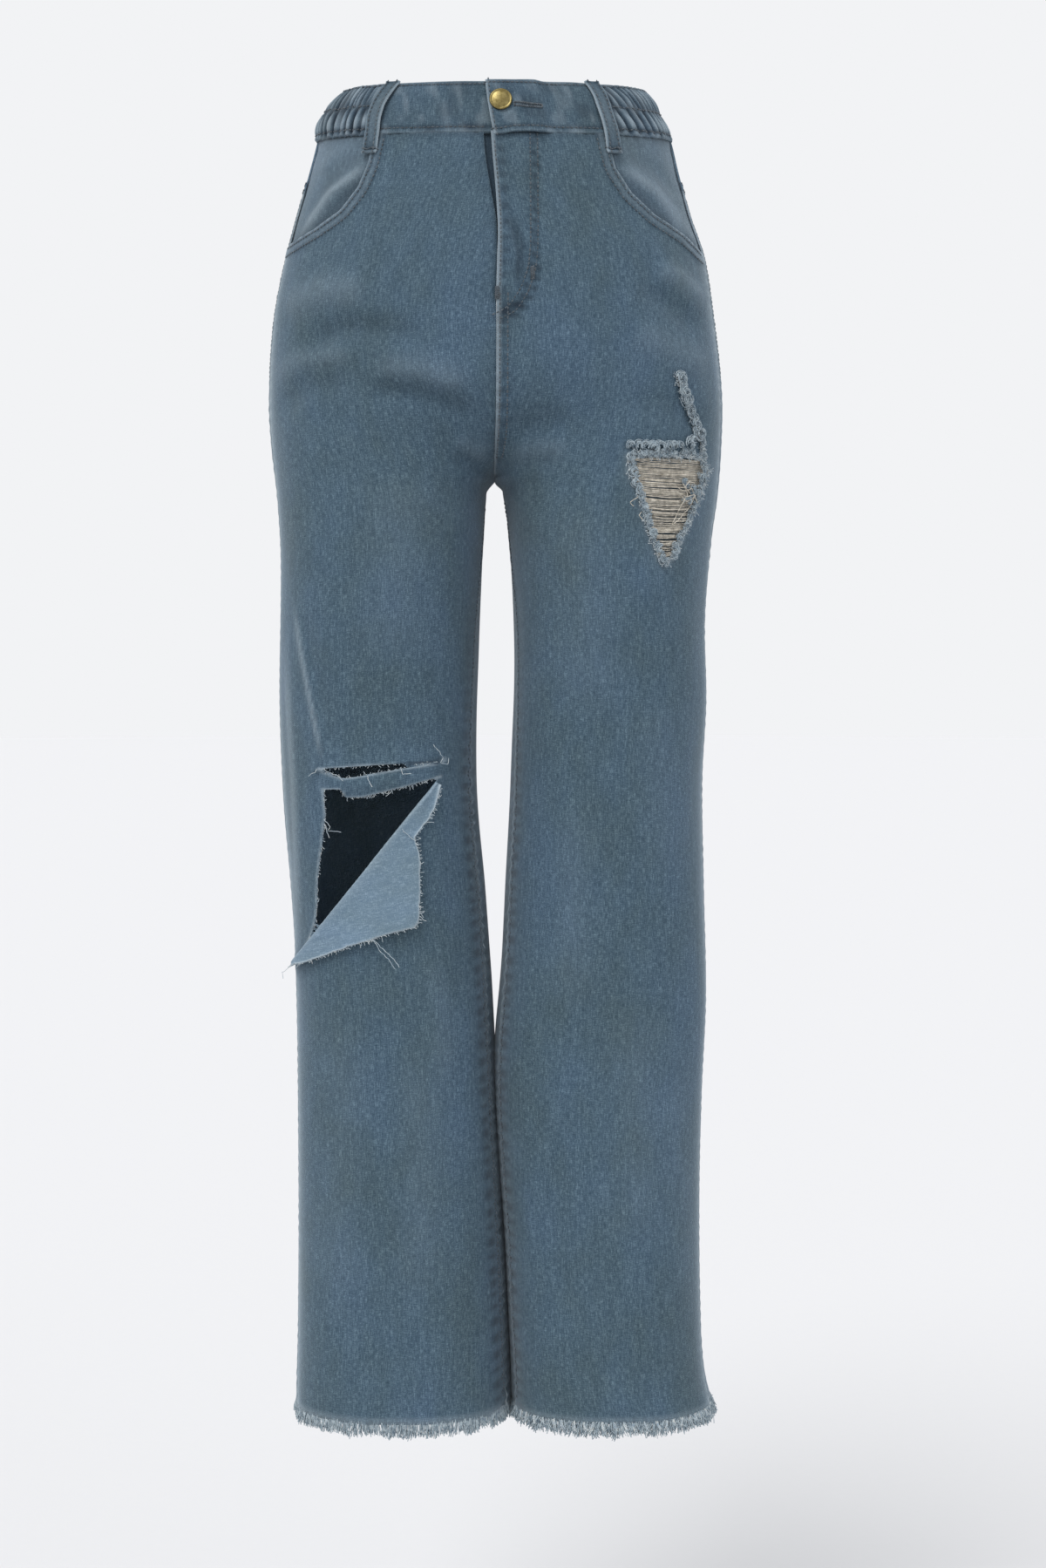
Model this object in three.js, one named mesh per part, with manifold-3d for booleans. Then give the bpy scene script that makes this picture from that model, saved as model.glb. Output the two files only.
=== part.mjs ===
// Ripped jeans: high waist, straight wide leg, worn and hollow, with no wearer.
// Millimetres, +Z up. The front of the garment faces -Y and the wearer's left is +X.
// The origin is in the middle of the waist opening, halfway up the waistband.
// Heights in this file are measured up from the raw hem; the group moves them to the origin.

import * as THREE from 'three';
import { mergeVertices } from 'three/addons/utils/BufferGeometryUtils.js';
import Module from 'manifold-3d';

const wasm = await Module();
wasm.setup();

// ---------------------------------------------------------------- driving sizes

const ORIGIN_HEIGHT = 998;      // the origin above the raw hem
const WAIST_TOP = 1017;         // top of the waistband at the side
const WAIST_SEAM = 978.5;       // band to panel seam at the side
const CROTCH = 715;             // where the four panels meet
const WAIST_TILT = 0.145;       // the waist drops to the front by this much of the depth
const TILT_FROM = 820;          // below this height the rows are level

const DENIM = 1.6;              // cloth wall
const BAND = 2.4;               // folded waistband wall
const LOOP_WALL = 1.6;
const SEAM_GAP = 0.3;           // clear space between pieces that are sewn together
const FRINGE_REACH = 11;        // frayed threads below the hem

const SIDE_SEAM_ANGLE = 8;      // degrees forward of the widest point
const INSEAM_ANGLE = 165;       // degrees round the leg section from the outer side
const HIP_POWER = 2.2;          // superellipse powers of the hip and leg sections
const LEG_POWER = 2.3;

const FRONT_CROTCH_CURVE = 75;  // height over which the front seam turns under
const BACK_CROTCH_CURVE = 80;
const HIP_TO_LEG = 125;         // the hip section turns into two legs this far above and below

// Half widths and depths of the sections: [height, size].
const OUTER_RIGHT = [
  [-12, 155], [0, 154], [60, 152.5], [260, 152.7], [350, 154.7], [400, 158], [465, 163.5],
  [540, 166.5], [650, 165.6], [700, 168.5], [740, 173], [775, 175], [835, 171.7], [885, 162.5],
  [920, 153.5], [955, 144], [978.5, 138], [990, 136], [1000, 131.5], [1008, 125], [1017, 116],
];
const OUTER_LEFT = [
  [-12, 169.5], [0, 168], [25, 162.5], [61, 160], [145, 158.8], [235, 160.5], [312, 164],
  [400, 162.2], [480, 161], [543, 164], [606, 163], [668, 168], [700, 172.4], [738, 175.3],
  [782, 176], [844, 169.5], [888, 162.5], [920, 152], [955, 142.8], [978.5, 137], [995, 129.7],
  [1007, 124], [1017, 115.5],
];
const INNER_RIGHT = [
  [-12, -13], [0, -12.6], [120, -7], [250, 0.6], [356, 6.5], [478, 14.5], [587, 11.5], [680, 8],
  [715, 6],
];
const INNER_LEFT = [
  [-12, 14.8], [0, 14.4], [120, 8.6], [250, 0.9], [356, 8], [478, 12.5], [587, 14.5], [680, 10],
  [715, 5],
];
const FRONT_DEPTH = [
  [-12, 70.5], [0, 70], [150, 68], [300, 70], [480, 78], [600, 88], [680, 96], [715, 100],
  [790, 108], [850, 109], [900, 106], [978.5, 97], [1017, 88],
];
const BACK_DEPTH = [
  [-12, 70.5], [0, 70], [150, 71], [300, 73], [480, 75], [600, 90], [680, 106], [715, 112],
  [790, 124], [850, 118], [900, 106], [978.5, 93], [1017, 86],
];

// The fly lies over to the wearer's right by this much at the waist, and ends at the bartack.
const FLY_LAP = 7;
const FLY_BOTTOM = 850;

// Outlines on the front, as [x, height].
const POCKET_MOUTH_RIGHT = [
  [-87, 985], [-90, 962], [-94, 944], [-101.5, 927], [-115, 911], [-135, 900], [-152, 894],
  [-190, 886], [-190, 1000], [-87, 1000],
];
const POCKET_MOUTH_LEFT = [
  [83, 985], [85.5, 962], [91, 941], [103, 923], [121, 908], [146, 896], [160, 887],
  [190, 880], [190, 1000], [83, 1000],
];
const THIGH_RIP = [
  [101.5, 725.5], [155, 725.5], [161, 718], [154, 700], [146, 680], [133, 652], [128, 646],
  [124, 650], [115.5, 672], [111.5, 690], [108, 702], [102, 713],
];
const KNEE_SLIT = [
  [-131, 492.5], [-88, 495.5], [-38, 498.3], [-43, 496.5], [-68, 493], [-98, 487.5],
  [-112, 485.5], [-128, 490],
];
const KNEE_HOLE = [
  [-128, 477], [-114.5, 477.5], [-110.5, 471], [-98, 471.5], [-68, 479], [-41, 486.5],
  [-43.5, 482], [-143, 357], [-140, 362], [-136, 373], [-134, 388], [-133.5, 407],
  [-132, 420], [-129, 439], [-127, 457],
];
const KNEE_FLAP = [
  [-44.5, 481], [-48, 467], [-54.5, 450.5], [-60, 443.5], [-57.7, 427.5], [-57, 412],
  [-57, 389], [-59.7, 375], [-80.5, 371.5], [-101, 365], [-119, 356], [-137, 350], [-145, 354],
];

const YOKE_SIDE = 938;          // yoke seam height at the side and at the centre back
const YOKE_CENTRE = 908;

const FLAP_GAP = 1.2;           // the turned down flap stands this far off the shin
const SHIELD_GAP = 1;           // behind the fly, where the facets don't run alike

const BUTTON_DIAMETER = 17;
const BUTTON_X = 5.5;
const BUTTON_HEIGHT = 1001;     // level height; the waist tilt brings it down in front
const BUTTONHOLE_LENGTH = 24;
const UNDERLAP_REACH = 30;      // how far the right band and the fly shield run under the left

const LOOP_WIDTH = 13;
const LOOP_DROP = 15;           // below the band seam
const LOOP_STAND_OFF = 1.6;
// Belt loops: name, azimuth at the seam and at the top, in degrees from +X through the front.
const BELT_LOOPS = [
  ['belt_loop_front_right', 128.5, 128],
  ['belt_loop_front_left', 52.5, 53],
  ['belt_loop_back_right', 228, 228],
  ['belt_loop_back_left', 312, 312],
  ['belt_loop_back_centre', 270, 270],
];

// ---------------------------------------------------------------- materials

function material(name, color, roughness, metalness) {
  return new THREE.MeshStandardMaterial({ name, color, roughness, metalness });
}

const denim = material('denim', 0x56697a, 0.9, 0);
const denimReverse = material('denim_reverse', 0x7e91a1, 0.92, 0);
const fringe = material('cotton_fringe', 0xa4acb0, 0.95, 0);
const brass = material('antique_brass', 0x8a7c4a, 0.4, 1);

// ---------------------------------------------------------------- sections

function smoothstep(from, to, value) {
  const t = Math.min(1, Math.max(0, (value - from) / (to - from)));
  return t * t * (3 - 2 * t);
}

function signedPower(value, power) {
  return Math.sign(value) * Math.abs(value) ** power;
}

// A smooth curve through [height, size] pairs.
function profile(pairs) {
  const last = pairs.length - 1;
  const slope = (i) => {
    const a = pairs[Math.max(0, i - 1)];
    const b = pairs[Math.min(last, i + 1)];
    return (b[1] - a[1]) / (b[0] - a[0]);
  };
  return (height) => {
    const h = Math.min(pairs[last][0], Math.max(pairs[0][0], height));
    let i = 0;
    while (i < last - 1 && h > pairs[i + 1][0]) i += 1;
    const span = pairs[i + 1][0] - pairs[i][0];
    const t = (h - pairs[i][0]) / span;
    const stay = 2 * t ** 3 - 3 * t ** 2 + 1;
    const leave = t ** 3 - 2 * t ** 2 + t;
    const arrive = t ** 3 - t ** 2;
    return stay * pairs[i][1] + leave * span * slope(i)
      + (1 - stay) * pairs[i + 1][1] + arrive * span * slope(i + 1);
  };
}

const outerRight = profile(OUTER_RIGHT);
const outerLeft = profile(OUTER_LEFT);
const innerRight = profile(INNER_RIGHT);
const innerLeft = profile(INNER_LEFT);
const frontDepth = profile(FRONT_DEPTH);
const backDepth = profile(BACK_DEPTH);

const RIGHT = -1;
const LEFT = 1;
const FRONT = -1;
const BACK = 1;

function radians(degrees) {
  return degrees * Math.PI / 180;
}

function outer(side, height) {
  return side === RIGHT ? outerRight(height) : outerLeft(height);
}

function depthAt(isFront, height) {
  return isFront ? frontDepth(height) : backDepth(height);
}

// The hips as one ring: azimuth 0 is the wearer's left side, 90 the front, 270 the back.
function hipSection(azimuth, height) {
  const along = Math.cos(radians(azimuth));
  const across = Math.sin(radians(azimuth));
  const side = along < 0 ? RIGHT : LEFT;
  return [
    outer(side, height) * signedPower(along, 2 / HIP_POWER),
    -depthAt(across > 0, height) * signedPower(across, 2 / HIP_POWER),
  ];
}

// One leg as a ring: turn 0 is the outer side, 90 the front, 180 the inner side.
function legSection(side, turn, height) {
  const inner = side === RIGHT ? innerRight(height) : innerLeft(height);
  const centre = (outer(side, height) + inner) / 2;
  const half = (outer(side, height) - inner) / 2;
  const along = Math.cos(radians(turn));
  const across = Math.sin(radians(turn));
  return [
    side * (centre + half * signedPower(along, 2 / LEG_POWER)),
    -depthAt(across > 0, height) * signedPower(across, 2 / LEG_POWER),
  ];
}

// The waist ring is higher behind than in front.
function tilted(x, y, height) {
  const lift = WAIST_TILT * y * smoothstep(TILT_FROM, WAIST_SEAM, height);
  return new THREE.Vector3(x, y, height + lift);
}

// The centre seam turns under between the legs on a quarter ellipse.
function centreWeight(face, height) {
  const curve = face === FRONT ? FRONT_CROTCH_CURVE : BACK_CROTCH_CURVE;
  const s = Math.min(1, Math.max(0, (height - CROTCH) / curve));
  return Math.sqrt(1 - (1 - s) ** 2);
}

// How much of the hip section shows: the change from hips to legs is long and soft at the
// side and takes up only the crotch curve at the centre.
function hipWeight(face, u, height) {
  const curve = face === FRONT ? FRONT_CROTCH_CURVE : BACK_CROTCH_CURVE;
  const centre = smoothstep(0.3, 1, u);
  const low = CROTCH - HIP_TO_LEG * (1 - centre);
  const high = CROTCH + HIP_TO_LEG + (curve - HIP_TO_LEG) * centre;
  const s = Math.min(1, Math.max(0, (height - low) / (high - low)));
  const soft = s * s * (3 - 2 * s);
  const round = (1 - (1 - s) ** 2) ** (0.5 + 0.8 * (1 - centre));
  return soft + (round - soft) * centre ** 2;
}

// A point on the outside of a panel: u 0 is the side seam, u 1 the centre seam and inseam.
function panelPoint(side, face, u, height) {
  const end = face === FRONT ? 90 : -90;
  const hipTurn = SIDE_SEAM_ANGLE + (end - SIDE_SEAM_ANGLE) * u;
  const joined = smoothstep(CROTCH - 9, CROTCH, height);
  const inseamForward = (180 - INSEAM_ANGLE) * (1 - smoothstep(CROTCH - 130, CROTCH, height));
  const inseam = face === FRONT ? 180 - inseamForward : -180 - inseamForward;
  const legTurn = SIDE_SEAM_ANGLE + (inseam - SIDE_SEAM_ANGLE) * u;
  const hip = hipSection(side === LEFT ? hipTurn : 180 - hipTurn, height);
  const leg = legSection(side, legTurn, height);
  const weight = hipWeight(face, u, height);
  let x = hip[0] * weight + leg[0] * (1 - weight);
  const y = hip[1] * weight + leg[1] * (1 - weight);
  const edge = smoothstep(0.72, 1, u);
  const legEnd = legSection(side, inseam, height)[0];
  const atEdge = legEnd * (1 - centreWeight(face, height)) - side * SEAM_GAP / 2;
  x -= atEdge * joined * edge;
  if (face === FRONT) {
    x -= FLY_LAP * smoothstep(FLY_BOTTOM, WAIST_TOP, height) * smoothstep(0.8, 1, u);
  }
  return tilted(x, y, height);
}

function waistPoint(azimuth, height) {
  const [x, y] = hipSection(azimuth, height);
  return tilted(x, y, height);
}

// ---------------------------------------------------------------- walls

// The unit normal of surface(a, b), with the sign that makes it point out of the garment.
function normalOf(surface, a, b, aStep, bStep, aMax, sign) {
  const ahead = Math.min(aMax, a + aStep);
  const alongA = surface(ahead, b).sub(surface(a - aStep, b));
  const alongB = surface(a, b + bStep).sub(surface(a, b - bStep));
  return alongA.cross(alongB).normalize().multiplyScalar(sign);
}

// Moves the rim of a grid of points inwards by half the seam gap.
function trimRim(grid) {
  const rows = grid.length;
  const columns = grid[0].length;
  const pull = (point, neighbour) => {
    const step = neighbour.clone().sub(point).normalize().multiplyScalar(SEAM_GAP / 2);
    return point.clone().add(step);
  };
  const sides = grid.map((row) => {
    const next = row.slice();
    next[0] = pull(row[0], row[1]);
    next[columns - 1] = pull(row[columns - 1], row[columns - 2]);
    return next;
  });
  const result = sides.slice();
  result[0] = sides[0].map((point, c) => pull(point, sides[1][c]));
  result[rows - 1] = sides[rows - 1].map((point, c) => pull(point, sides[rows - 2][c]));
  return result;
}

// A closed wall between an outer and an inner grid of points, row by row.
function wallGeometry(outerGrid, innerGrid, sign) {
  const rows = outerGrid.length;
  const columns = outerGrid[0].length;
  const positions = [];
  [...outerGrid, ...innerGrid].flat().forEach((p) => positions.push(p.x, p.y, p.z));
  const out = (r, c) => r * columns + c;
  const inn = (r, c) => rows * columns + r * columns + c;
  const index = [];
  const quad = (a, b, c, d) => {
    if (sign > 0) index.push(a, b, c, a, c, d);
    else index.push(a, c, b, a, d, c);
  };
  for (let r = 0; r < rows - 1; r += 1) {
    for (let c = 0; c < columns - 1; c += 1) {
      quad(out(r, c), out(r, c + 1), out(r + 1, c + 1), out(r + 1, c));
      quad(inn(r, c), inn(r + 1, c), inn(r + 1, c + 1), inn(r, c + 1));
    }
    const end = columns - 1;
    quad(out(r, 0), out(r + 1, 0), inn(r + 1, 0), inn(r, 0));
    quad(out(r, end), inn(r, end), inn(r + 1, end), out(r + 1, end));
  }
  for (let c = 0; c < columns - 1; c += 1) {
    const top = rows - 1;
    quad(out(0, c), inn(0, c), inn(0, c + 1), out(0, c + 1));
    quad(out(top, c), out(top, c + 1), inn(top, c + 1), inn(top, c));
  }
  const geometry = new THREE.BufferGeometry();
  geometry.setAttribute('position', new THREE.Float32BufferAttribute(positions, 3));
  geometry.setIndex(index);
  return geometry;
}

function steps(from, to, count) {
  return Array.from({ length: count + 1 }, (_, i) => from + (to - from) * i / count);
}

// A wall on surface(a, b): the outside lies `lift(a, b)` out of the surface.
function clothWall({ surface, columnValues, rowValues, wall, lift, sign, aMax = Infinity }) {
  const outside = [];
  const inside = [];
  rowValues.forEach((b) => {
    const outsideRow = [];
    const insideRow = [];
    columnValues.forEach((a) => {
      const normal = normalOf(surface, a, b, 0.004, 0.4, aMax, sign);
      const point = surface(a, b);
      const raised = lift(a, b);
      outsideRow.push(point.clone().addScaledVector(normal, raised));
      insideRow.push(point.clone().addScaledVector(normal, raised - wall));
    });
    outside.push(outsideRow);
    inside.push(insideRow);
  });
  return wallGeometry(trimRim(outside), trimRim(inside), sign);
}

// ---------------------------------------------------------------- joining and cutting

function toSolid(geometry) {
  const bare = new THREE.BufferGeometry();
  bare.setAttribute('position', geometry.getAttribute('position').clone());
  if (geometry.index) bare.setIndex(geometry.index.clone());
  const merged = mergeVertices(bare, 1e-4);
  return new wasm.Manifold(new wasm.Mesh({
    numProp: 3,
    vertProperties: new Float32Array(merged.getAttribute('position').array),
    triVerts: new Uint32Array(merged.index.array),
  }));
}

function toGeometry(solid) {
  const mesh = solid.getMesh();
  const geometry = new THREE.BufferGeometry();
  geometry.setAttribute('position', new THREE.BufferAttribute(mesh.vertProperties, 3));
  geometry.setIndex(new THREE.BufferAttribute(mesh.triVerts, 1));
  return geometry;
}

// A prism with an [x, height] outline, running from y = 0 out past the front.
function frontPrism(outline) {
  const shape = new THREE.Shape(outline.map(([x, height]) => new THREE.Vector2(x, height)));
  const prism = new THREE.ExtrudeGeometry(shape, { depth: 200, bevelEnabled: false });
  prism.rotateX(Math.PI / 2);
  return toSolid(prism);
}

// ---------------------------------------------------------------- pieces

const garment = new THREE.Group();

function addPiece(name, geometry, pieceMaterial) {
  geometry.computeVertexNormals();
  const mesh = new THREE.Mesh(geometry, pieceMaterial);
  mesh.name = name;
  garment.add(mesh);
}

const LEG_ROWS = [
  0, 70, 140, 210, 280, 345, 400, 450, 500, 550, 600, 640, 670, 690, 704, 711, 715,
  716.5, 720, 726, 735, 748, 766, 790,
];
const PANEL_COLUMNS = 11;
const HIP_ROWS = steps(790, WAIST_SEAM, 7);

function panelGeometry(side, face, rowValues, surface) {
  return clothWall({
    surface,
    columnValues: steps(0, 1, PANEL_COLUMNS),
    rowValues,
    wall: DENIM,
    lift: () => 0,
    sign: side * face,
    aMax: 1,
  });
}

function frontPanel(side, outlines) {
  const rows = [...LEG_ROWS, ...HIP_ROWS.slice(1)];
  const surface = (u, height) => panelPoint(side, FRONT, u, height);
  let solid = toSolid(panelGeometry(side, FRONT, rows, surface));
  outlines.forEach((outline) => {
    solid = solid.subtract(frontPrism(outline));
  });
  return toGeometry(solid);
}

function yokeHeight(u) {
  return YOKE_SIDE + (YOKE_CENTRE - YOKE_SIDE) * u;
}

function backPanel(side) {
  const last = LEG_ROWS[LEG_ROWS.length - 1];
  const rows = [...LEG_ROWS, ...steps(last, YOKE_SIDE, 5).slice(1)];
  const surface = (u, height) => {
    const above = Math.max(0, height - last) / (YOKE_SIDE - last);
    return panelPoint(side, BACK, u, height + above * (yokeHeight(u) - YOKE_SIDE));
  };
  return panelGeometry(side, BACK, rows, surface);
}

function yoke(side) {
  const surface = (u, part) => {
    const from = yokeHeight(u);
    return panelPoint(side, BACK, u, from + (WAIST_SEAM - from) * part / 100);
  };
  return panelGeometry(side, BACK, steps(0, 100, 3), surface);
}

// The pocket facing lies behind the front panel, on the same rows, and fills the pocket mouth.
function pocketFacing(side) {
  return clothWall({
    surface: (u, height) => panelPoint(side, FRONT, u, height),
    columnValues: steps(0, 1, PANEL_COLUMNS).slice(0, 7),
    rowValues: HIP_ROWS.slice(3),
    wall: DENIM,
    lift: () => -(DENIM + SEAM_GAP),
    sign: side * FRONT,
  });
}

// The fly shield is behind the fly opening and runs under the left front.
function flyShield() {
  return clothWall({
    surface: (x, height) => {
      const along = signedPower(x / outer(Math.sign(x) || LEFT, height), HIP_POWER / 2);
      const azimuth = Math.acos(along) * 180 / Math.PI;
      return waistPoint(azimuth, height);
    },
    columnValues: steps(-24, UNDERLAP_REACH, 6),
    rowValues: steps(FLY_BOTTOM, WAIST_SEAM, 5),
    wall: DENIM,
    lift: () => -(DENIM + SHIELD_GAP),
    sign: 1,
  });
}

function azimuthAt(x, height) {
  const side = x < 0 ? RIGHT : LEFT;
  const along = signedPower(x / outer(side, height), HIP_POWER / 2);
  return Math.acos(along) * 180 / Math.PI;
}

const BAND_LIFT = 0.4;          // the band stands this much out of the panels
const LAP_LIFT = BAND + SEAM_GAP;

function bandPiece(from, to, columns, liftAt) {
  return clothWall({
    surface: (azimuth, height) => waistPoint(azimuth, height),
    columnValues: steps(from, to, columns),
    rowValues: steps(WAIST_SEAM, WAIST_TOP, 3),
    wall: BAND,
    lift: liftAt,
    sign: -1,
  });
}

function plainLift() {
  return BAND_LIFT;
}

const middleOfBand = (WAIST_SEAM + WAIST_TOP) / 2;
const LAP_EDGE = azimuthAt(-FLY_LAP, middleOfBand);
const UNDERLAP_EDGE = azimuthAt(UNDERLAP_REACH, middleOfBand);
const LAP_RISE_FROM = azimuthAt(UNDERLAP_REACH + 12, middleOfBand);
const LAP_RISE_TO = azimuthAt(UNDERLAP_REACH + 2, middleOfBand);
const FRONT_LOOP_RIGHT = BELT_LOOPS[0][1];
const FRONT_LOOP_LEFT = BELT_LOOPS[1][1];
const BACK_LOOP_RIGHT = BELT_LOOPS[2][1];
const BACK_LOOP_LEFT = BELT_LOOPS[3][1] - 360;

function lapLift(azimuth) {
  return BAND_LIFT + LAP_LIFT * smoothstep(LAP_RISE_FROM, LAP_RISE_TO, azimuth);
}

function buttonPlace() {
  const azimuth = azimuthAt(BUTTON_X, BUTTON_HEIGHT);
  const surface = (a, h) => waistPoint(a, h);
  const normal = normalOf(surface, azimuth, BUTTON_HEIGHT, 0.1, 0.4, Infinity, -1);
  return { centre: waistPoint(azimuth, BUTTON_HEIGHT), normal };
}

// A slot for the button's neck, running from the button toward the wearer's left.
function buttonholeSlot() {
  const { centre } = buttonPlace();
  const half = 2.9;
  const slot = new THREE.Shape();
  slot.moveTo(BUTTON_X, centre.z - half);
  slot.lineTo(BUTTON_X + BUTTONHOLE_LENGTH, centre.z - 0.8);
  slot.lineTo(BUTTON_X + BUTTONHOLE_LENGTH, centre.z + 0.8);
  slot.lineTo(BUTTON_X, centre.z + half);
  slot.absarc(BUTTON_X, centre.z, half, Math.PI / 2, Math.PI * 1.5, false);
  const prism = new THREE.ExtrudeGeometry(slot, { depth: 200, bevelEnabled: false, curveSegments: 8 });
  prism.rotateX(Math.PI / 2);
  return toSolid(prism);
}

function buttonGeometry() {
  const r = BUTTON_DIAMETER / 2;
  const neck = 2.2;
  const seat = BAND_LIFT + SEAM_GAP;
  const head = BAND_LIFT + LAP_LIFT + SEAM_GAP;
  const points = [
    [0, seat], [neck, seat], [neck, head], [r - 0.6, head], [r, head + 0.7], [r - 0.3, head + 1.9],
    [r - 1.4, head + 2.3], [r - 2.2, head + 1.9], [r * 0.4, head + 2.4], [0, head + 2.5],
  ].map(([radius, out]) => new THREE.Vector2(radius, out));
  const geometry = new THREE.LatheGeometry(points, 24);
  const { centre, normal } = buttonPlace();
  const turn = new THREE.Quaternion().setFromUnitVectors(new THREE.Vector3(0, 1, 0), normal);
  geometry.applyQuaternion(turn);
  geometry.translate(centre.x, centre.y, centre.z);
  return toGeometry(toSolid(geometry));
}

// A belt loop: a strip over the band whose two ends lie on the cloth.
function beltLoop(azimuthLow, azimuthHigh, extraLift) {
  const low = WAIST_SEAM - LOOP_DROP;
  const span = WAIST_TOP - low;
  const widthAngle = (height) => {
    const middle = (azimuthLow + azimuthHigh) / 2;
    const reach = waistPoint(middle + 1, height).distanceTo(waistPoint(middle - 1, height));
    return LOOP_WIDTH / reach;
  };
  return clothWall({
    surface: (across, height) => {
      const part = (height - low) / span;
      const azimuth = azimuthLow + (azimuthHigh - azimuthLow) * part;
      return waistPoint(azimuth + across * 2 * widthAngle(height), height);
    },
    columnValues: steps(-0.5, 0.5, 2),
    rowValues: steps(low, WAIST_TOP, 8),
    wall: LOOP_WALL,
    lift: (across, height) => {
      const part = (height - low) / span;
      const bow = Math.sin(Math.PI * part) * LOOP_STAND_OFF;
      return BAND_LIFT + SEAM_GAP + LOOP_WALL + bow + extraLift;
    },
    sign: -1,
  });
}

// The knee flap is the torn cloth turned down over the shin, its reverse side out.
function kneeFlap() {
  const sheet = clothWall({
    surface: (u, height) => panelPoint(RIGHT, FRONT, u, height),
    columnValues: steps(0.03, 0.74, 12),
    rowValues: steps(335, 490, 9),
    wall: DENIM,
    lift: () => DENIM + FLAP_GAP,
    sign: RIGHT * FRONT,
  });
  return toGeometry(toSolid(sheet).intersect(frontPrism(KNEE_FLAP)));
}

// The fringe of a leg is a short tube below the raw hem.
function hemFringe(side) {
  const around = steps(0, 360, 28).slice(0, -1);
  const rows = [-SEAM_GAP / 2, -FRINGE_REACH / 2, -FRINGE_REACH];
  const wall = DENIM;
  const surface = (turn, height) => {
    const [x, y] = legSection(side, turn, height);
    return new THREE.Vector3(x, y, height);
  };
  const sign = -side;
  const outside = [];
  const inside = [];
  rows.forEach((height) => {
    const points = around.map((turn) => surface(turn, height));
    const normals = around.map((turn) => normalOf(surface, turn, 0, 0.5, 0.5, Infinity, sign));
    outside.push(points);
    inside.push(points.map((p, i) => p.clone().addScaledVector(normals[i], -wall)));
  });
  const count = around.length;
  const positions = [];
  [...outside, ...inside].flat().forEach((p) => positions.push(p.x, p.y, p.z));
  const out = (r, c) => r * count + (c % count);
  const inn = (r, c) => (rows.length + r) * count + (c % count);
  const index = [];
  const quad = (a, b, c, d) => {
    if (side < 0) index.push(a, c, b, a, d, c);
    else index.push(a, b, c, a, c, d);
  };
  const last = rows.length - 1;
  for (let c = 0; c < count; c += 1) {
    for (let r = 0; r < last; r += 1) {
      quad(out(r, c), out(r, c + 1), out(r + 1, c + 1), out(r + 1, c));
      quad(inn(r, c), inn(r + 1, c), inn(r + 1, c + 1), inn(r, c + 1));
    }
    quad(out(0, c), inn(0, c), inn(0, c + 1), out(0, c + 1));
    quad(out(last, c), out(last, c + 1), inn(last, c + 1), inn(last, c));
  }
  const geometry = new THREE.BufferGeometry();
  geometry.setAttribute('position', new THREE.Float32BufferAttribute(positions, 3));
  geometry.setIndex(index);
  return geometry;
}

// ---------------------------------------------------------------- the garment

addPiece('front_right', frontPanel(RIGHT, [POCKET_MOUTH_RIGHT, KNEE_SLIT, KNEE_HOLE]), denim);
addPiece('front_left', frontPanel(LEFT, [POCKET_MOUTH_LEFT, THIGH_RIP]), denim);
addPiece('back_right', backPanel(RIGHT), denim);
addPiece('back_left', backPanel(LEFT), denim);
addPiece('yoke_right', yoke(RIGHT), denim);
addPiece('yoke_left', yoke(LEFT), denim);
addPiece('pocket_facing_right', pocketFacing(RIGHT), denim);
addPiece('pocket_facing_left', pocketFacing(LEFT), denim);
addPiece('fly_shield', flyShield(), denim);

addPiece('band_front_right', bandPiece(UNDERLAP_EDGE, FRONT_LOOP_RIGHT, 8, plainLift), denim);
const lappedBand = toSolid(bandPiece(FRONT_LOOP_LEFT, LAP_EDGE, 10, lapLift));
addPiece('band_front_left', toGeometry(lappedBand.subtract(buttonholeSlot())), denim);
addPiece('band_elastic_right', bandPiece(FRONT_LOOP_RIGHT, BACK_LOOP_RIGHT, 14, plainLift), denim);
addPiece('band_elastic_left', bandPiece(BACK_LOOP_LEFT, FRONT_LOOP_LEFT, 14, plainLift), denim);
addPiece('band_back', bandPiece(BACK_LOOP_RIGHT, BACK_LOOP_LEFT + 360, 8, plainLift), denim);

BELT_LOOPS.forEach(([name, azimuthLow, azimuthHigh]) => {
  addPiece(name, beltLoop(azimuthLow, azimuthHigh, 0), denim);
});

addPiece('button', buttonGeometry(), brass);
addPiece('knee_flap', kneeFlap(), denimReverse);
addPiece('hem_fringe_right', hemFringe(RIGHT), fringe);
addPiece('hem_fringe_left', hemFringe(LEFT), fringe);

garment.position.z = -ORIGIN_HEIGHT;

const object = new THREE.Group();
object.add(garment);

export default object;
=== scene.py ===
"""Ripped jeans: a worn, hollow pair of high-waisted denim jeans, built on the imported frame."""

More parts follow.
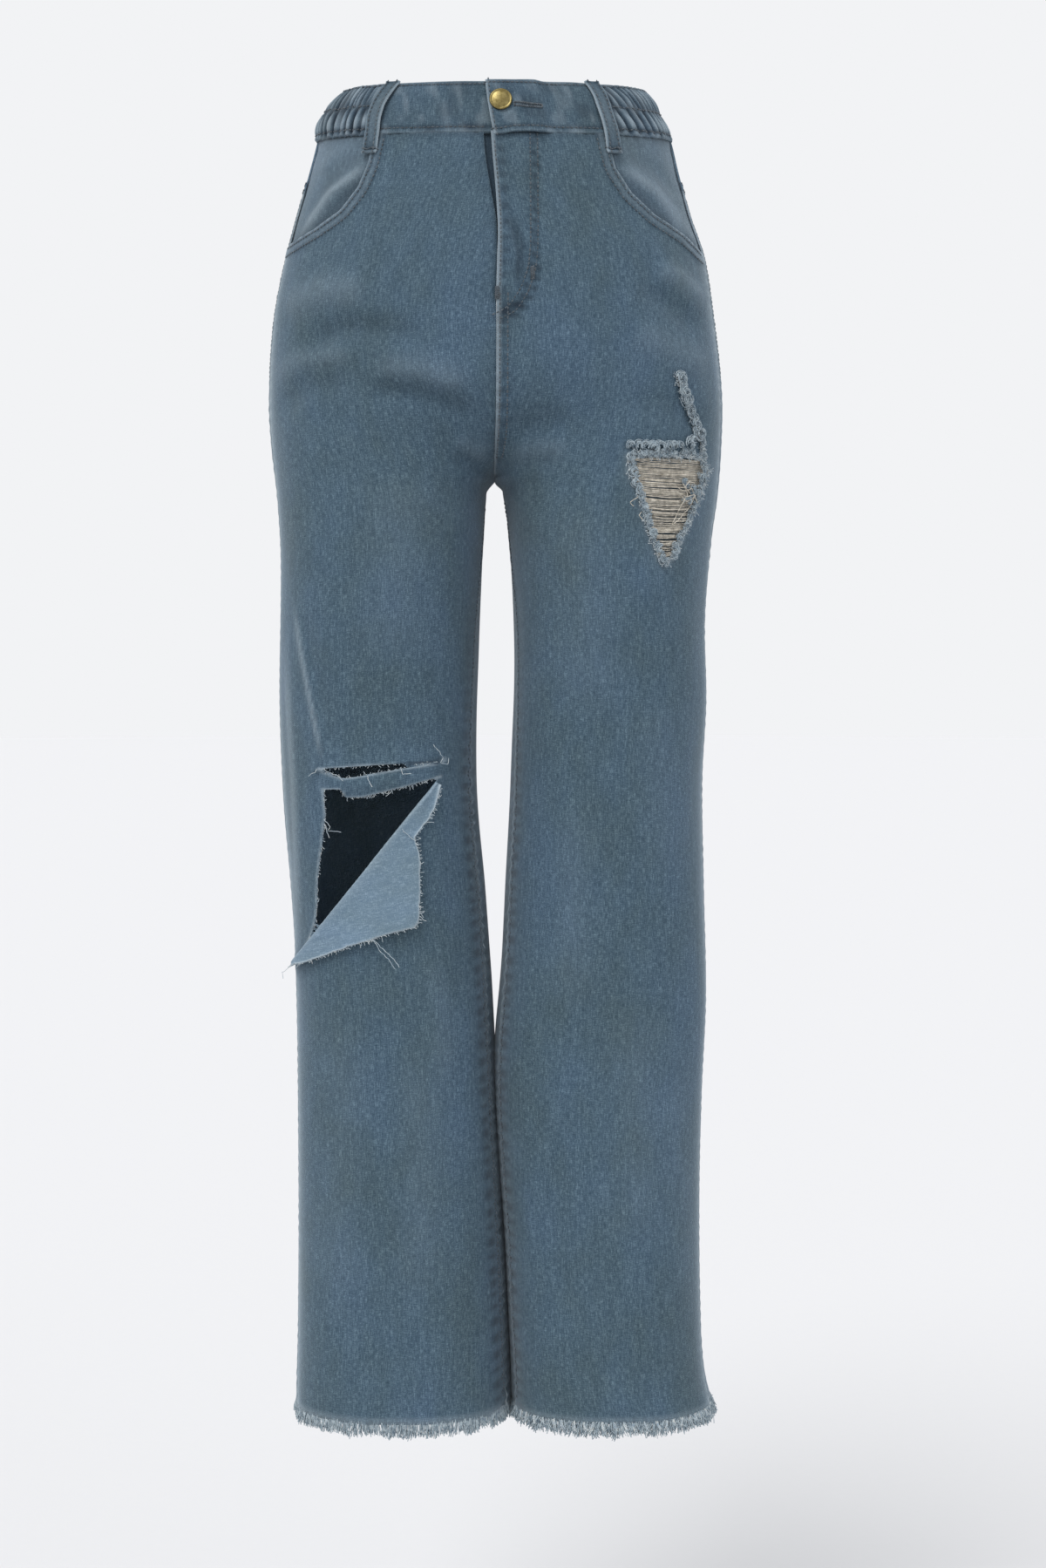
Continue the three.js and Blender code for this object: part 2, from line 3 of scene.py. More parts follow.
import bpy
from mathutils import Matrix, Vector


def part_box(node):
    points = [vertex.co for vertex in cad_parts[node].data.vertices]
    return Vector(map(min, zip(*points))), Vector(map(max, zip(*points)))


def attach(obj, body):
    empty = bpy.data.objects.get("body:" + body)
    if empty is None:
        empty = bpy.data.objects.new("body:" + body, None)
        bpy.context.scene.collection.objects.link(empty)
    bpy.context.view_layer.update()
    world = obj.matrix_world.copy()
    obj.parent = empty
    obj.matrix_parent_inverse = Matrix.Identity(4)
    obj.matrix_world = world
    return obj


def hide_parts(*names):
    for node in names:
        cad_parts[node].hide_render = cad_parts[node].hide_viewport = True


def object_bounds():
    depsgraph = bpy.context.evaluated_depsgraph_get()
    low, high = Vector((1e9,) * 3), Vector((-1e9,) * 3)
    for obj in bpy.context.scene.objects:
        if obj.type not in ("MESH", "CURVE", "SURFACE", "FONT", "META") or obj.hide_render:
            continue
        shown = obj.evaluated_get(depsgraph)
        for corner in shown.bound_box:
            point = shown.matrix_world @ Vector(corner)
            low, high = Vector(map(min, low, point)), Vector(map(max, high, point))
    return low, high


bl_info = {
    "name": "Ripped Jeans",
    "version": (1, 0, 0),
    "blender": (4, 5, 0),
    "location": "View3D > Sidebar > Jeans",
    "description": "Builds the cloth, stitching, fraying and button of a pair of ripped jeans",
    "category": "Add Mesh",
}

import functools
import math

import bpy
import numpy as np
from bpy.props import FloatProperty, IntProperty, PointerProperty, StringProperty

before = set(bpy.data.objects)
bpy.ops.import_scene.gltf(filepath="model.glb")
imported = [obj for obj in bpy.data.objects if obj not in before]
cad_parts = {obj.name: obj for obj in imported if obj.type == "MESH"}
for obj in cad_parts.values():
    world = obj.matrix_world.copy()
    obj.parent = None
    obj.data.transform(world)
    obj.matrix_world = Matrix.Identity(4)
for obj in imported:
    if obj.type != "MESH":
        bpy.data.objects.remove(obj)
CAD_BOX = [list(corner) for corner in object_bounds()]

# ---------------- sizes of the cut
# The shape functions work in millimetres, with heights measured up from the raw hem.

MM = 0.001
SEAM_GAP = 0.3
HEM_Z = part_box("front_right")[0][2] - SEAM_GAP / 2 * MM

RIGHT, LEFT = -1, 1
FRONT, BACK = -1, 1
SIDE_NAMES = {RIGHT: "right", LEFT: "left"}

WAIST_TOP = 1017
WAIST_SEAM = 978.5
CROTCH = 715
WAIST_TILT = 0.145
TILT_FROM = 820
SIDE_SEAM_ANGLE = 8
INSEAM_ANGLE = 165
HIP_POWER = 2.2
LEG_POWER = 2.3
FRONT_CROTCH_CURVE = 75
BACK_CROTCH_CURVE = 80
HIP_TO_LEG = 125
# Where the two legs grow together, and over what height the inseam turns forward.
LEGS_JOIN_OVER = 9
INSEAM_TURNS_OVER = 130
# How far across a panel the pulls towards its centre edge begin, from 0 to 1.
SEAM_PULL_FROM = 0.72
LAP_PULL_FROM = 0.8
GAPE_FROM = 0.86
FLY_LAP = 7
FLY_BOTTOM = 850
YOKE_SIDE = 938
YOKE_CENTRE = 908

DENIM_WALL = 1.6
BAND_WALL = 2.4
BAND_LIFT = 0.4
LAP_LIFT = BAND_WALL + SEAM_GAP
BUTTON_X = 5.5
BUTTON_HEIGHT = WAIST_TOP - 16
UNDERLAP_REACH = 30

# How far rows of stitches run from the edges they hold.
MOUTH_ROWS = (2.6, 8.2)
FLY_ROWS = (2.6, 8.4)
SEAM_ROWS = (2.4, 8.0)
YOKE_SEAM_ROWS = (1.8, 7.4)
BAND_LOW_ROW, BAND_HIGH_ROW = 4.8, 2.6
HIP_STITCH_END = 790

# Half widths and depths of the sections: [height, size].
OUTER_RIGHT = [
    [-12, 155], [0, 154], [60, 152.5], [260, 152.7], [350, 154.7], [400, 158], [465, 163.5],
    [540, 166.5], [650, 165.6], [700, 168.5], [740, 173], [775, 175], [835, 171.7], [885, 162.5],
    [920, 153.5], [955, 144], [978.5, 138], [990, 136], [1000, 131.5], [1008, 125], [1017, 116],
]
OUTER_LEFT = [
    [-12, 169.5], [0, 168], [25, 162.5], [61, 160], [145, 158.8], [235, 160.5], [312, 164],
    [400, 162.2], [480, 161], [543, 164], [606, 163], [668, 168], [700, 172.4], [738, 175.3],
    [782, 176], [844, 169.5], [888, 162.5], [920, 152], [955, 142.8], [978.5, 137], [995, 129.7],
    [1007, 124], [1017, 115.5],
]
INNER_RIGHT = [
    [-12, -13], [0, -12.6], [120, -7], [250, 0.6], [356, 6.5], [478, 14.5], [587, 11.5],
    [680, 8], [715, 6],
]
INNER_LEFT = [
    [-12, 14.8], [0, 14.4], [120, 8.6], [250, 0.9], [356, 8], [478, 12.5], [587, 14.5],
    [680, 10], [715, 5],
]
FRONT_DEPTH = [
    [-12, 70.5], [0, 70], [150, 68], [300, 70], [480, 78], [600, 88], [680, 96], [715, 100],
    [790, 108], [850, 109], [900, 106], [978.5, 97], [1017, 88],
]
BACK_DEPTH = [
    [-12, 70.5], [0, 70], [150, 71], [300, 73], [480, 75], [600, 90], [680, 106], [715, 112],
    [790, 124], [850, 118], [900, 106], [978.5, 93], [1017, 86],
]

# Outlines on the front, as [x, height].
POCKET_MOUTHS = {
    RIGHT: [
        [-87, 985], [-90, 962], [-94, 944], [-101.5, 927], [-115, 911], [-135, 900], [-152, 894],
        [-190, 886],
    ],
    LEFT: [
        [83, 985], [85.5, 962], [91, 941], [103, 923], [121, 908], [146, 896], [160, 887],
        [190, 880],
    ],
}
THIGH_RIP = [
    [101.5, 725.5], [155, 725.5], [161, 718], [154, 700], [146, 680], [133, 652], [128, 646],
    [124, 650], [115.5, 672], [111.5, 690], [108, 702], [102, 713],
]
KNEE_SLIT = [
    [-131, 492.5], [-88, 495.5], [-38, 498.3], [-43, 496.5], [-68, 493], [-98, 487.5],
    [-112, 485.5], [-128, 490],
]
KNEE_HOLE = [
    [-128, 477], [-114.5, 477.5], [-110.5, 471], [-98, 471.5], [-68, 479], [-41, 486.5],
    [-43.5, 482], [-143, 357], [-140, 362], [-136, 373], [-134, 388], [-133.5, 407],
    [-132, 420], [-129, 439], [-127, 457],
]
# The hole's torn edge: all of it but the fold.
KNEE_TORN = KNEE_HOLE[7:] + KNEE_HOLE[:6]
FLAP_FOLD = [[-43.5, 482], [-153.5, 341.5]]
# How far the flap reaches from its fold: [distance down the fold, reach].
FLAP_REACH = [
    [0, 1], [1.6, 1.5], [12.5, 7.2], [24.3, 10.4], [35.8, 11.2], [42.6, 11.3], [49.8, 21.9],
    [62.1, 32.2], [74.8, 41.8], [90.9, 53.5], [95.6, 52.7], [111.8, 40.3], [134.4, 25.5],
    [155.8, 13.7], [176.4, 2.4], [178.4, 1.6],
]


def to_frame(points):
    """Millimetres with heights above the hem, as metres in the frame."""
    return np.asarray(points, float) * MM + np.array([0.0, 0.0, HEM_Z])


# ---------------- curves and noise


def ramp(start, end, value):
    """0 up to start and 1 from end on, with a soft rise between them."""
    t = np.clip((value - start) / (end - start), 0, 1)
    return t * t * (3 - 2 * t)


def bell(distance, width):
    """1 at a distance of 0, fading smoothly to almost nothing at twice the width."""
    return np.exp(-((distance / width) ** 2))


def arch(part):
    """0 at both ends of a part that goes from 0 to 1, and 1 in its middle."""
    return np.sin(np.pi * part)


def signed_power(value, power):
    return np.sign(value) * np.abs(value) ** power


def profile(pairs):
    """A smooth curve through [place, size] pairs."""
    place, size = np.array(pairs, float).T
    before = np.maximum(np.arange(len(place)) - 1, 0)
    after = np.minimum(np.arange(len(place)) + 1, len(place) - 1)
    slope = (size[after] - size[before]) / (place[after] - place[before])

    def at(value):
        v = np.clip(value, place[0], place[-1])
        i = np.clip(np.searchsorted(place, v, side="left") - 1, 0, len(place) - 2)
        span = place[i + 1] - place[i]
        t = (v - place[i]) / span
        stay = 2 * t**3 - 3 * t**2 + 1
        leave = t**3 - 2 * t**2 + t
        arrive = t**3 - t**2
        bends = leave * span * slope[i] + arrive * span * slope[i + 1]
        return stay * size[i] + (1 - stay) * size[i + 1] + bends

    return at


NOISE_CELLS = 64


@functools.lru_cache(None)
def noise_table(seed):
    return np.random.RandomState(seed).uniform(-1, 1, (NOISE_CELLS, NOISE_CELLS))


def noise(a, b, seed):
    """Smooth noise from -1 to 1, one bump to each unit of a and b."""
    table = noise_table(seed)
    a, b = np.broadcast_arrays(np.asarray(a, float), np.asarray(b, float))
    ia, ib = np.floor(a).astype(int), np.floor(b).astype(int)
    fa, fb = ramp(0, 1, a - ia), ramp(0, 1, b - ib)
    rows = []
    for column in (ib % NOISE_CELLS, (ib + 1) % NOISE_CELLS):
        here, beyond = table[ia % NOISE_CELLS, column], table[(ia + 1) % NOISE_CELLS, column]
        rows.append(here * (1 - fa) + beyond * fa)
    return rows[0] * (1 - fb) + rows[1] * fb


def line_distance(x, height, points):
    """Distance to a line of points, and how far along it the nearest place is, from 0 to 1."""
    points = np.array(points, float)
    steps = np.linalg.norm(np.diff(points, axis=0), axis=1)
    total = steps.sum()
    best = np.full(np.shape(x), 1e9)
    along = np.zeros(np.shape(x))
    done = 0.0
    for a, b, step in zip(points[:-1], points[1:], steps):
        d = (b - a) / step
        t = np.clip((x - a[0]) * d[0] + (height - a[1]) * d[1], 0, step)
        gap = np.hypot(x - a[0] - d[0] * t, height - a[1] - d[1] * t)
        nearer = gap < best
        best = np.where(nearer, gap, best)
        along = np.where(nearer, (done + t) / total, along)
        done += step
    return best, along


def gap_to(x, height, points):
    return line_distance(x, height, points)[0]


def crease(x, height, points, width, rise, fade=0.25):
    """A soft ridge, or a trough where rise is negative, that fades out at both ends."""
    gap, along = line_distance(x, height, points)
    ends = ramp(0, fade, along) * ramp(0, fade, 1 - along)
    return rise * bell(gap, width) * ends


def unit(vectors):
    """Vectors at a length of 1."""
    return vectors / np.maximum(np.linalg.norm(vectors, axis=-1, keepdims=True), 1e-9)


def run_lengths(points):
    """How far along a line each of its points is."""
    return np.r_[0, np.cumsum(np.linalg.norm(np.diff(points, axis=0), axis=1))]


def between(places, known, points):
    """Where the places lie on a line that passes its points at the known places."""
    columns = [np.interp(places, known, points[:, k]) for k in range(points.shape[1])]
    return np.stack(columns, axis=-1)


def even_line(points, step):
    points = np.array(points, float)
    lengths = run_lengths(points)
    places = np.linspace(0, lengths[-1], max(2, int(lengths[-1] / step)))
    return between(places, lengths, points)


def smooth_line(points, step):
    """An even line through points with its corners rounded off."""
    fine = even_line(points, 1.0)
    kernel = np.hanning(15)[1:-1]
    kernel /= kernel.sum()
    padded = np.concatenate([np.repeat(fine[:1], 6, 0), fine, np.repeat(fine[-1:], 6, 0)])
    rounded = np.stack([np.convolve(padded[:, k], kernel, "valid") for k in range(2)], 1)
    return even_line(rounded, step)


def zigzag(line, swing):
    """A line whose points step to and fro by a swing."""
    swing = np.array(swing)
    return np.array([spot + swing * (1 if i % 2 else -1) for i, spot in enumerate(line)])


def inside_outline(x, height, outline):
    inside = np.zeros(np.shape(x), bool)
    points = np.array(outline, float)
    for (xa, ha), (xb, hb) in zip(points, np.roll(points, -1, axis=0)):
        crosses = (ha > height) != (hb > height)
        if ha != hb:
            inside ^= crosses & (x < (xb - xa) * (height - ha) / (hb - ha) + xa)
    return inside


# ---------------- the garment's surface

outer_of = {RIGHT: profile(OUTER_RIGHT), LEFT: profile(OUTER_LEFT)}
inner_of = {RIGHT: profile(INNER_RIGHT), LEFT: profile(INNER_LEFT)}
front_depth = profile(FRONT_DEPTH)
back_depth = profile(BACK_DEPTH)
# How far each front's centre edge stands over to the wearer's left: the fly gapes at its top.
fly_edge = {
    RIGHT: profile([[715, 0], [760, 1.9], [850, 2.6], [905, 4.4], [935, 1.6], [965, -0.9], [979, -1]]),
    LEFT: profile([[715, 0], [760, 1.9], [850, 2.6], [905, 5.0], [935, 5.1], [965, 4.4], [979, 4.2]]),
}


def depth_at(across, height):
    return np.where(across > 0, front_depth(height), back_depth(height))


def hip_section(azimuth, height):
    """The hips as one ring: azimuth 0 is the wearer's left, 90 the front, 270 the back."""
    along, across = np.cos(np.radians(azimuth)), np.sin(np.radians(azimuth))
    outer = np.where(along < 0, outer_of[RIGHT](height), outer_of[LEFT](height))
    x = outer * signed_power(along, 2 / HIP_POWER)
    y = -depth_at(across, height) * signed_power(across, 2 / HIP_POWER)
    return x, y


def leg_section(side, turn, height):
    """One leg as a ring: turn 0 is the outer side, 90 the front, 180 the inner side."""
    outer, inner = outer_of[side](height), inner_of[side](height)
    along, across = np.cos(np.radians(turn)), np.sin(np.radians(turn))
    x = side * ((outer + inner) / 2 + (outer - inner) / 2 * signed_power(along, 2 / LEG_POWER))
    y = -depth_at(across, height) * signed_power(across, 2 / LEG_POWER)
    return x, y


def tilted(x, y, height):
    lift = WAIST_TILT * y * ramp(TILT_FROM, WAIST_SEAM, height)
    return np.stack(np.broadcast_arrays(x, y, height + lift), axis=-1)


def crotch_curve(face):
    return FRONT_CROTCH_CURVE if face == FRONT else BACK_CROTCH_CURVE


def centre_weight(face, height):
    s = np.clip((height - CROTCH) / crotch_curve(face), 0, 1)
    return np.sqrt(1 - (1 - s) ** 2)


def hip_weight(face, u, height):
    centre = ramp(0.3, 1, u)
    low = CROTCH - HIP_TO_LEG * (1 - centre)
    high = CROTCH + HIP_TO_LEG + (crotch_curve(face) - HIP_TO_LEG) * centre
    s = np.clip((height - low) / (high - low), 0, 1)
    soft = ramp(low, high, height)
    rounded = (1 - (1 - s) ** 2) ** (0.5 + 0.8 * (1 - centre))
    return soft + (rounded - soft) * centre**2


def panel_point(side, face, u, height):
    """A point on a panel's outside: u 0 is the side seam, u 1 the centre seam and inseam."""
    u, height = np.broadcast_arrays(np.asarray(u, float), np.asarray(height, float))
    hip_turn = SIDE_SEAM_ANGLE + ((90 if face == FRONT else -90) - SIDE_SEAM_ANGLE) * u
    joined = ramp(CROTCH - LEGS_JOIN_OVER, CROTCH, height)
    turning = ramp(CROTCH - INSEAM_TURNS_OVER, CROTCH, height)
    forward = (180 - INSEAM_ANGLE) * (1 - turning)
    inseam = 180 - forward if face == FRONT else -180 - forward
    hip_x, hip_y = hip_section(hip_turn if side == LEFT else 180 - hip_turn, height)
    leg_x, leg_y = leg_section(side, SIDE_SEAM_ANGLE + (inseam - SIDE_SEAM_ANGLE) * u, height)
    weight = hip_weight(face, u, height)
    x = hip_x * weight + leg_x * (1 - weight)
    y = hip_y * weight + leg_y * (1 - weight)
    leg_end = leg_section(side, inseam, height)[0]
    at_edge = leg_end * (1 - centre_weight(face, height)) - side * SEAM_GAP / 2
    x = x - at_edge * joined * ramp(SEAM_PULL_FROM, 1, u)
    if face == FRONT:
        lap = FLY_LAP * ramp(FLY_BOTTOM, WAIST_TOP, height)
        x = x - lap * ramp(LAP_PULL_FROM, 1, u)
        x = x + fly_edge[side](height) * ramp(GAPE_FROM, 1, u)
    return tilted(x, y, height)


def waist_point(azimuth, height):
    x, y = hip_section(azimuth, height)
    return tilted(x, y, height)


def azimuth_at(x, height):
    outer = np.where(np.asarray(x) < 0, outer_of[RIGHT](height), outer_of[LEFT](height))
    return np.degrees(np.arccos(signed_power(x / outer, HIP_POWER / 2)))


# ---------------- cloth grids


SMALL = 1e-6


class Cloth:
    """The outside of one piece of cloth, as a grid of points with what shows on it.

    across and along are distances from its first column and row, from_end and from_top from its
    last ones, all before relief is added; flat is where each point lies on the cloth laid flat.
    """

    def __init__(self, points, sign, relief=None):
        self.sign = sign
        self.points = points
        self.normals = self.find_normals()
        if relief is not None:
            self.points = points + self.normals * relief[..., None]
            self.normals = self.find_normals()
        steps = np.linalg.norm(np.diff(points, axis=1), axis=2)
        self.across = np.concatenate([np.zeros((len(points), 1)), steps.cumsum(axis=1)], axis=1)
        rises = np.linalg.norm(np.diff(points, axis=0), axis=2)
        self.along = np.concatenate([np.zeros((1, points.shape[1])), rises.cumsum(axis=0)], axis=0)
        self.from_end = self.across[:, -1:] - self.across
        self.from_top = self.along[-1:] - self.along
        straight = int(0.4 * (points.shape[1] - 1))
        flat_u = self.across - self.across[:, straight : straight + 1]
        flat_v = np.repeat(self.along[:, straight : straight + 1], points.shape[1], axis=1)
        self.flat = np.stack([flat_u, flat_v], axis=2)
        self.keep = np.ones((len(points) - 1, points.shape[1] - 1), bool)
        # Two masks: pale wear with painted highlight, and dark unfaded dye with painted shade.
        self.wear_and_highlight = np.zeros(points.shape[:2])
        self.dye_and_shade = np.zeros(points.shape[:2])

    def find_normals(self):
        across = np.gradient(self.points, axis=1)
        along = np.gradient(self.points, axis=0)
        return unit(np.cross(across, along) * self.sign)

    def flat_size(self):
        """Width, length and area of the piece laid flat, in metres."""
        sides = np.linalg.norm(np.diff(self.points, axis=1), axis=2)
        rises = np.linalg.norm(np.diff(self.points, axis=0), axis=2)
        cells = (sides[1:] + sides[:-1]) / 2 * (rises[:, 1:] + rises[:, :-1]) / 2
        width, length = self.across[:, -1].max() * MM, self.along.max() * MM
        return width, length, (cells * self.keep).sum() * MM**2

    def moved_towards(self, r, c, x, height, reach):
        """A grid point slid along the cloth towards [x, height], by at most reach cells."""
        rows, columns = self.points.shape[:2]
        p = self.points[r, c]
        du = self.points[r, min(c + 1, columns - 1)] - self.points[r, max(c - 1, 0)]
        dh = self.points[min(r + 1, rows - 1), c] - self.points[max(r - 1, 0), c]
        slope = np.array([[du[0], dh[0]], [du[2], dh[2]]])
        if abs(np.linalg.det(slope)) < SMALL:
            return p
        a, b = np.linalg.solve(slope, [x - p[0], height - p[2]])
        return p + du * np.clip(a, -reach, reach) + dh * np.clip(b, -reach, reach)

    def place(self, x, height, lift=0.0):
        """Points on the cloth at [x, height] in the front view, raised by lift."""
        x, height = np.broadcast_arrays(x, height)
        flat = self.points.reshape(-1, 3)
        lifts = np.broadcast_to(np.asarray(lift, float), x.shape)
        found = []
        for want_x, want_h, raised in zip(x, height, lifts):
            near = np.argmin((flat[:, 0] - want_x) ** 2 + (flat[:, 2] - want_h) ** 2)
            r, c = divmod(int(near), self.points.shape[1])
            spot = self.moved_towards(r, c, want_x, want_h, 0.6)
            found.append(spot + self.normals[r, c] * raised)
        return np.array(found)

    def place_path(self, path, step):
        """An even line on the cloth through [x, height, lift] points."""
        return self.place(*even_line(path, step).T)

    def seam_line(self, distance, first, last, from_start=True, lift=0.2):
        """A line up the rows between two heights, at a distance from the first or last column."""
        line = []
        for measure, points, normals in zip(self.across, self.points, self.normals):
            if first <= points.mean(axis=0)[2] <= last:
                line.append(inset(measure, points, normals, distance, from_start, lift))
        return np.array(line)

    def row_line(self, distance, from_start=True, first=0.0):
        """A line along the columns, at a distance up from the first row or down from the last."""
        line = []
        count = self.points.shape[1]
        for c in range(int(first * (count - 1)), count):
            points, normals = self.points[:, c], self.normals[:, c]
            line.append(inset(self.along[:, c], points, normals, distance, from_start, 0.2))
        return np.array(line)

    def cut(self, outline):
        """Removes the faces inside an outline and pulls the rest onto its edge."""
        inside = inside_outline(self.points[..., 0], self.points[..., 2], outline)
        corners = inside[:-1, :-1] & inside[1:, :-1] & inside[:-1, 1:] & inside[1:, 1:]
        self.keep &= ~corners
        ring = np.array(outline + [outline[0]], float)
        a, d = ring[:-1], np.diff(ring, axis=0)
        for r, c in zip(*np.where(inside)):
            if not self.keep[max(r - 1, 0) : r + 1, max(c - 1, 0) : c + 1].any():
                continue
            spot = self.points[r, c][[0, 2]]
            t = np.clip(((spot - a) * d).sum(axis=1) / (d * d).sum(axis=1), 0, 1)
            near = a + d * t[:, None]
            best = near[np.argmin(np.linalg.norm(near - spot, axis=1))]
            self.points[r, c] = self.moved_towards(r, c, best[0], best[1], 1)


def inset(measure, points, normals, distance, from_start, lift):
    """The place at a distance from one end of a row of points, raised by lift."""
    want = distance if from_start else measure[-1] - distance
    return between(want, measure, points) + between(want, measure, normals) * lift


def shell_object(name, cloth, thickness, materials, grain):
    """A thin closed shell of cloth: the grid is its outside, materials are outside and inside."""
    columns = cloth.points.shape[1]
    outer = cloth.points.reshape(-1, 3)
    inner = outer - cloth.normals.reshape(-1, 3) * thickness
    r, c = np.where(cloth.keep)
    a = r * columns + c
    quads = np.stack([a, a + 1, a + columns + 1, a + columns], axis=1)
    if cloth.sign < 0:
        quads = quads[:, ::-1]
    edges = np.concatenate([quads[:, [i, (i + 1) % 4]] for i in range(4)])
    forward = edges[:, 0] * len(outer) + edges[:, 1]
    backward = edges[:, 1] * len(outer) + edges[:, 0]
    rim = edges[~np.isin(forward, backward)]
    shift = len(outer)
    rim_quads = np.stack([rim[:, 1], rim[:, 0], rim[:, 0] + shift, rim[:, 1] + shift], axis=1)
    faces = np.concatenate([quads, quads[:, ::-1] + shift, rim_quads])
    used, faces = np.unique(faces, return_inverse=True)
    faces = faces.reshape(-1, 4)
    points = np.concatenate([outer, inner])[used]
    mesh = bpy.data.meshes.new(name)
    mesh.from_pydata(to_frame(points).tolist(), [], faces.tolist())
    kind = np.repeat([0, 1, 1], [len(quads), len(quads), len(rim_quads)]).astype(np.int32)
    mesh.polygons.foreach_set("material_index", kind)
    smooth = np.repeat([True, True, False], [len(quads), len(quads), len(rim_quads)])
    mesh.polygons.foreach_set("use_smooth", smooth)
    cloth_map = np.tile(cloth.flat.reshape(-1, 2), (2, 1))[used] * MM + grain
    layer = mesh.uv_layers.new(name="cloth")
    corner = np.zeros(len(mesh.loops), np.int32)
    mesh.loops.foreach_get("vertex_index", corner)
    layer.data.foreach_set("uv", cloth_map[corner].ravel())
    for label, values in (("wear_and_highlight", cloth.wear_and_highlight), ("dye_and_shade", cloth.dye_and_shade)):
        attribute = mesh.attributes.new(label, "FLOAT", "POINT")
        attribute.data.foreach_set("value", np.tile(values.ravel(), 2)[used].astype(np.float32))
    for material in materials:
        mesh.materials.append(material)
    mesh.validate()
    mesh.update()
    return linked_object(name, mesh)


def declare(piece, slot, *nodes):
    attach(piece, "root")
    if nodes:
        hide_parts(*nodes)


def sew_piece(name, node, cloth, wall, grain, materials=("denim", "denim_reverse")):
    """Builds one piece of cloth in place of a node; grain shifts its weave from its neighbours'."""
    piece = shell_object(name, cloth, wall, [finishes()[label] for label in materials], grain)
    declare(piece, materials[0], node)
    width, length, area = cloth.flat_size()


# ---------------- folds, wear and painted light and shade of the panels

ROW_STEP = 3.2
BACK_ROW_STEP = 4.2
UNDER_BAND_SHADOW = 0.6
HIP_FOLD_DEPTH = 1.9
LEG_FOLD_DEPTH = 0.9
PANEL_COLUMNS = 76
YOKE_ROWS = 26
# The pocket facing: its lowest height, and how far across the front it reaches, from 0 to 1.
POCKET_LOW = 872
POCKET_REACH = 0.56
POCKET_COLUMNS = 44

# Soft folds of the front: outline on [x, height], half width and rise, all in millimetres.
RIGHT_FRONT_FOLDS = [
    ([[-100, 776], [-56, 771], [-30, 762], [-6, 750]], 8, -2.6),
    ([[-92, 790], [-50, 786], [-14, 772]], 12, 1.8),
    ([[-32, 727], [-18, 722], [-3, 719]], 5, -1.8),
    ([[-30, 737], [-16, 733], [-4, 730]], 6, 1.2),
    ([[-150, 806], [-118, 820], [-80, 819], [-48, 810]], 9, -2.4),
    ([[-160, 838], [-128, 850], [-90, 846]], 12, 2.2),
    ([[-168, 762], [-140, 778], [-104, 780]], 10, -1.6),
    ([[-168, 788], [-140, 800], [-100, 800]], 9, 1.6),
    ([[-151, 622], [-146, 586], [-138, 545], [-127, 493]], 3.0, 1.9),
    ([[-145, 618], [-139, 585], [-131, 545], [-120, 500]], 9, -1.8),
    ([[-158, 600], [-155, 540], [-152, 490], [-150, 420], [-149, 350]], 3.5, 1.5),
    ([[-66, 720], [-72, 640], [-78, 560]], 26, 1.4),
    ([[-120, 330], [-112, 250], [-118, 150], [-112, 60]], 18, 1.6),
    ([[-60, 300], [-52, 200], [-58, 80]], 16, 1.6),
    ([[-40, 470], [-30, 420], [-26, 360], [-24, 300]], 9, -1.6),
    ([[-52, 360], [-40, 320], [-36, 250]], 9, 1.5),
]
LEFT_FRONT_FOLDS = [
    ([[6, 742], [30, 750], [62, 752]], 9, -1.5),
    ([[8, 728], [34, 733], [60, 730]], 9, 1.3),
    ([[120, 868], [140, 858], [160, 842]], 9, 2.0),
    ([[104, 852], [130, 842], [158, 822]], 10, -1.6),
    ([[100, 820], [134, 806], [164, 790]], 12, 1.5),
    ([[96, 772], [130, 762], [166, 752]], 12, -1.2),
    ([[60, 700], [66, 620], [72, 520]], 26, 1.4),
    ([[120, 560], [126, 480], [132, 400]], 18, 1.3),
    ([[40, 520], [34, 430], [36, 340]], 14, -1.3),
    ([[60, 480], [56, 400], [60, 300]], 16, 1.5),
    ([[104, 330], [110, 230], [106, 120]], 18, 1.6),
    ([[140, 300], [138, 200], [146, 60]], 10, 1.3),
    ([[50, 250], [46, 160], [52, 60]], 15, -1.4),
]
# Soft folds of the back, under the seat and behind the knees, for the wearer's left side.
BACK_FOLDS = [
    ([[8, 742], [34, 726], [70, 716], [110, 722]], 10, -3.2),
    ([[10, 722], [38, 706], [76, 696], [116, 704]], 11, 2.2),
    ([[24, 694], [60, 680], [104, 682]], 11, -1.8),
    ([[30, 662], [70, 652], [118, 656]], 12, 1.4),
    ([[40, 520], [80, 512], [130, 520]], 10, -2.0),
    ([[34, 500], [76, 494], [128, 502]], 9, 1.8),
    ([[36, 482], [78, 474], [130, 484]], 9, -1.8),
    ([[46, 458], [84, 452], [126, 462]], 10, 1.6),
    ([[118, 440], [112, 330], [118, 200], [114, 90]], 18, 1.6),
    ([[52, 400], [58, 300], [52, 160], [58, 60]], 16, 1.5),
    ([[150, 900], [138, 840], [142, 780]], 16, 1.4),
]


def pucker(along, distance, spacing, width, rise, seed):
    """The small ladder of tucks that a shrunken seam pulls into the cloth beside it."""
    beat = np.cos(2 * np.pi * (along / spacing + 0.55 * noise(along / 31, 0.5, seed)))
    strength = 0.65 + 0.35 * noise(along / 24, 7.5, seed + 1)
    return rise * beat * strength * bell(distance - width * 0.55, width)


def felled(distance, width, rise):
    """The raised band of a seam that is folded over and stitched down."""
    return rise * (1 - ramp(width - 1.2, width + 0.8, distance))


def general_undulation(side, face, across, height):
    seed = 40 + 3 * side + 7 * face
    broad = 0.9 * noise(across / 62, height / 150, seed)
    return broad + 0.3 * noise(across / 24, height / 46, seed + 1)


def panel_grid(rows, columns=PANEL_COLUMNS, last=1.0):
    """A grid of places across a panel, from its side seam, and heights up it."""
    return np.meshgrid(np.linspace(0, last, columns), rows)


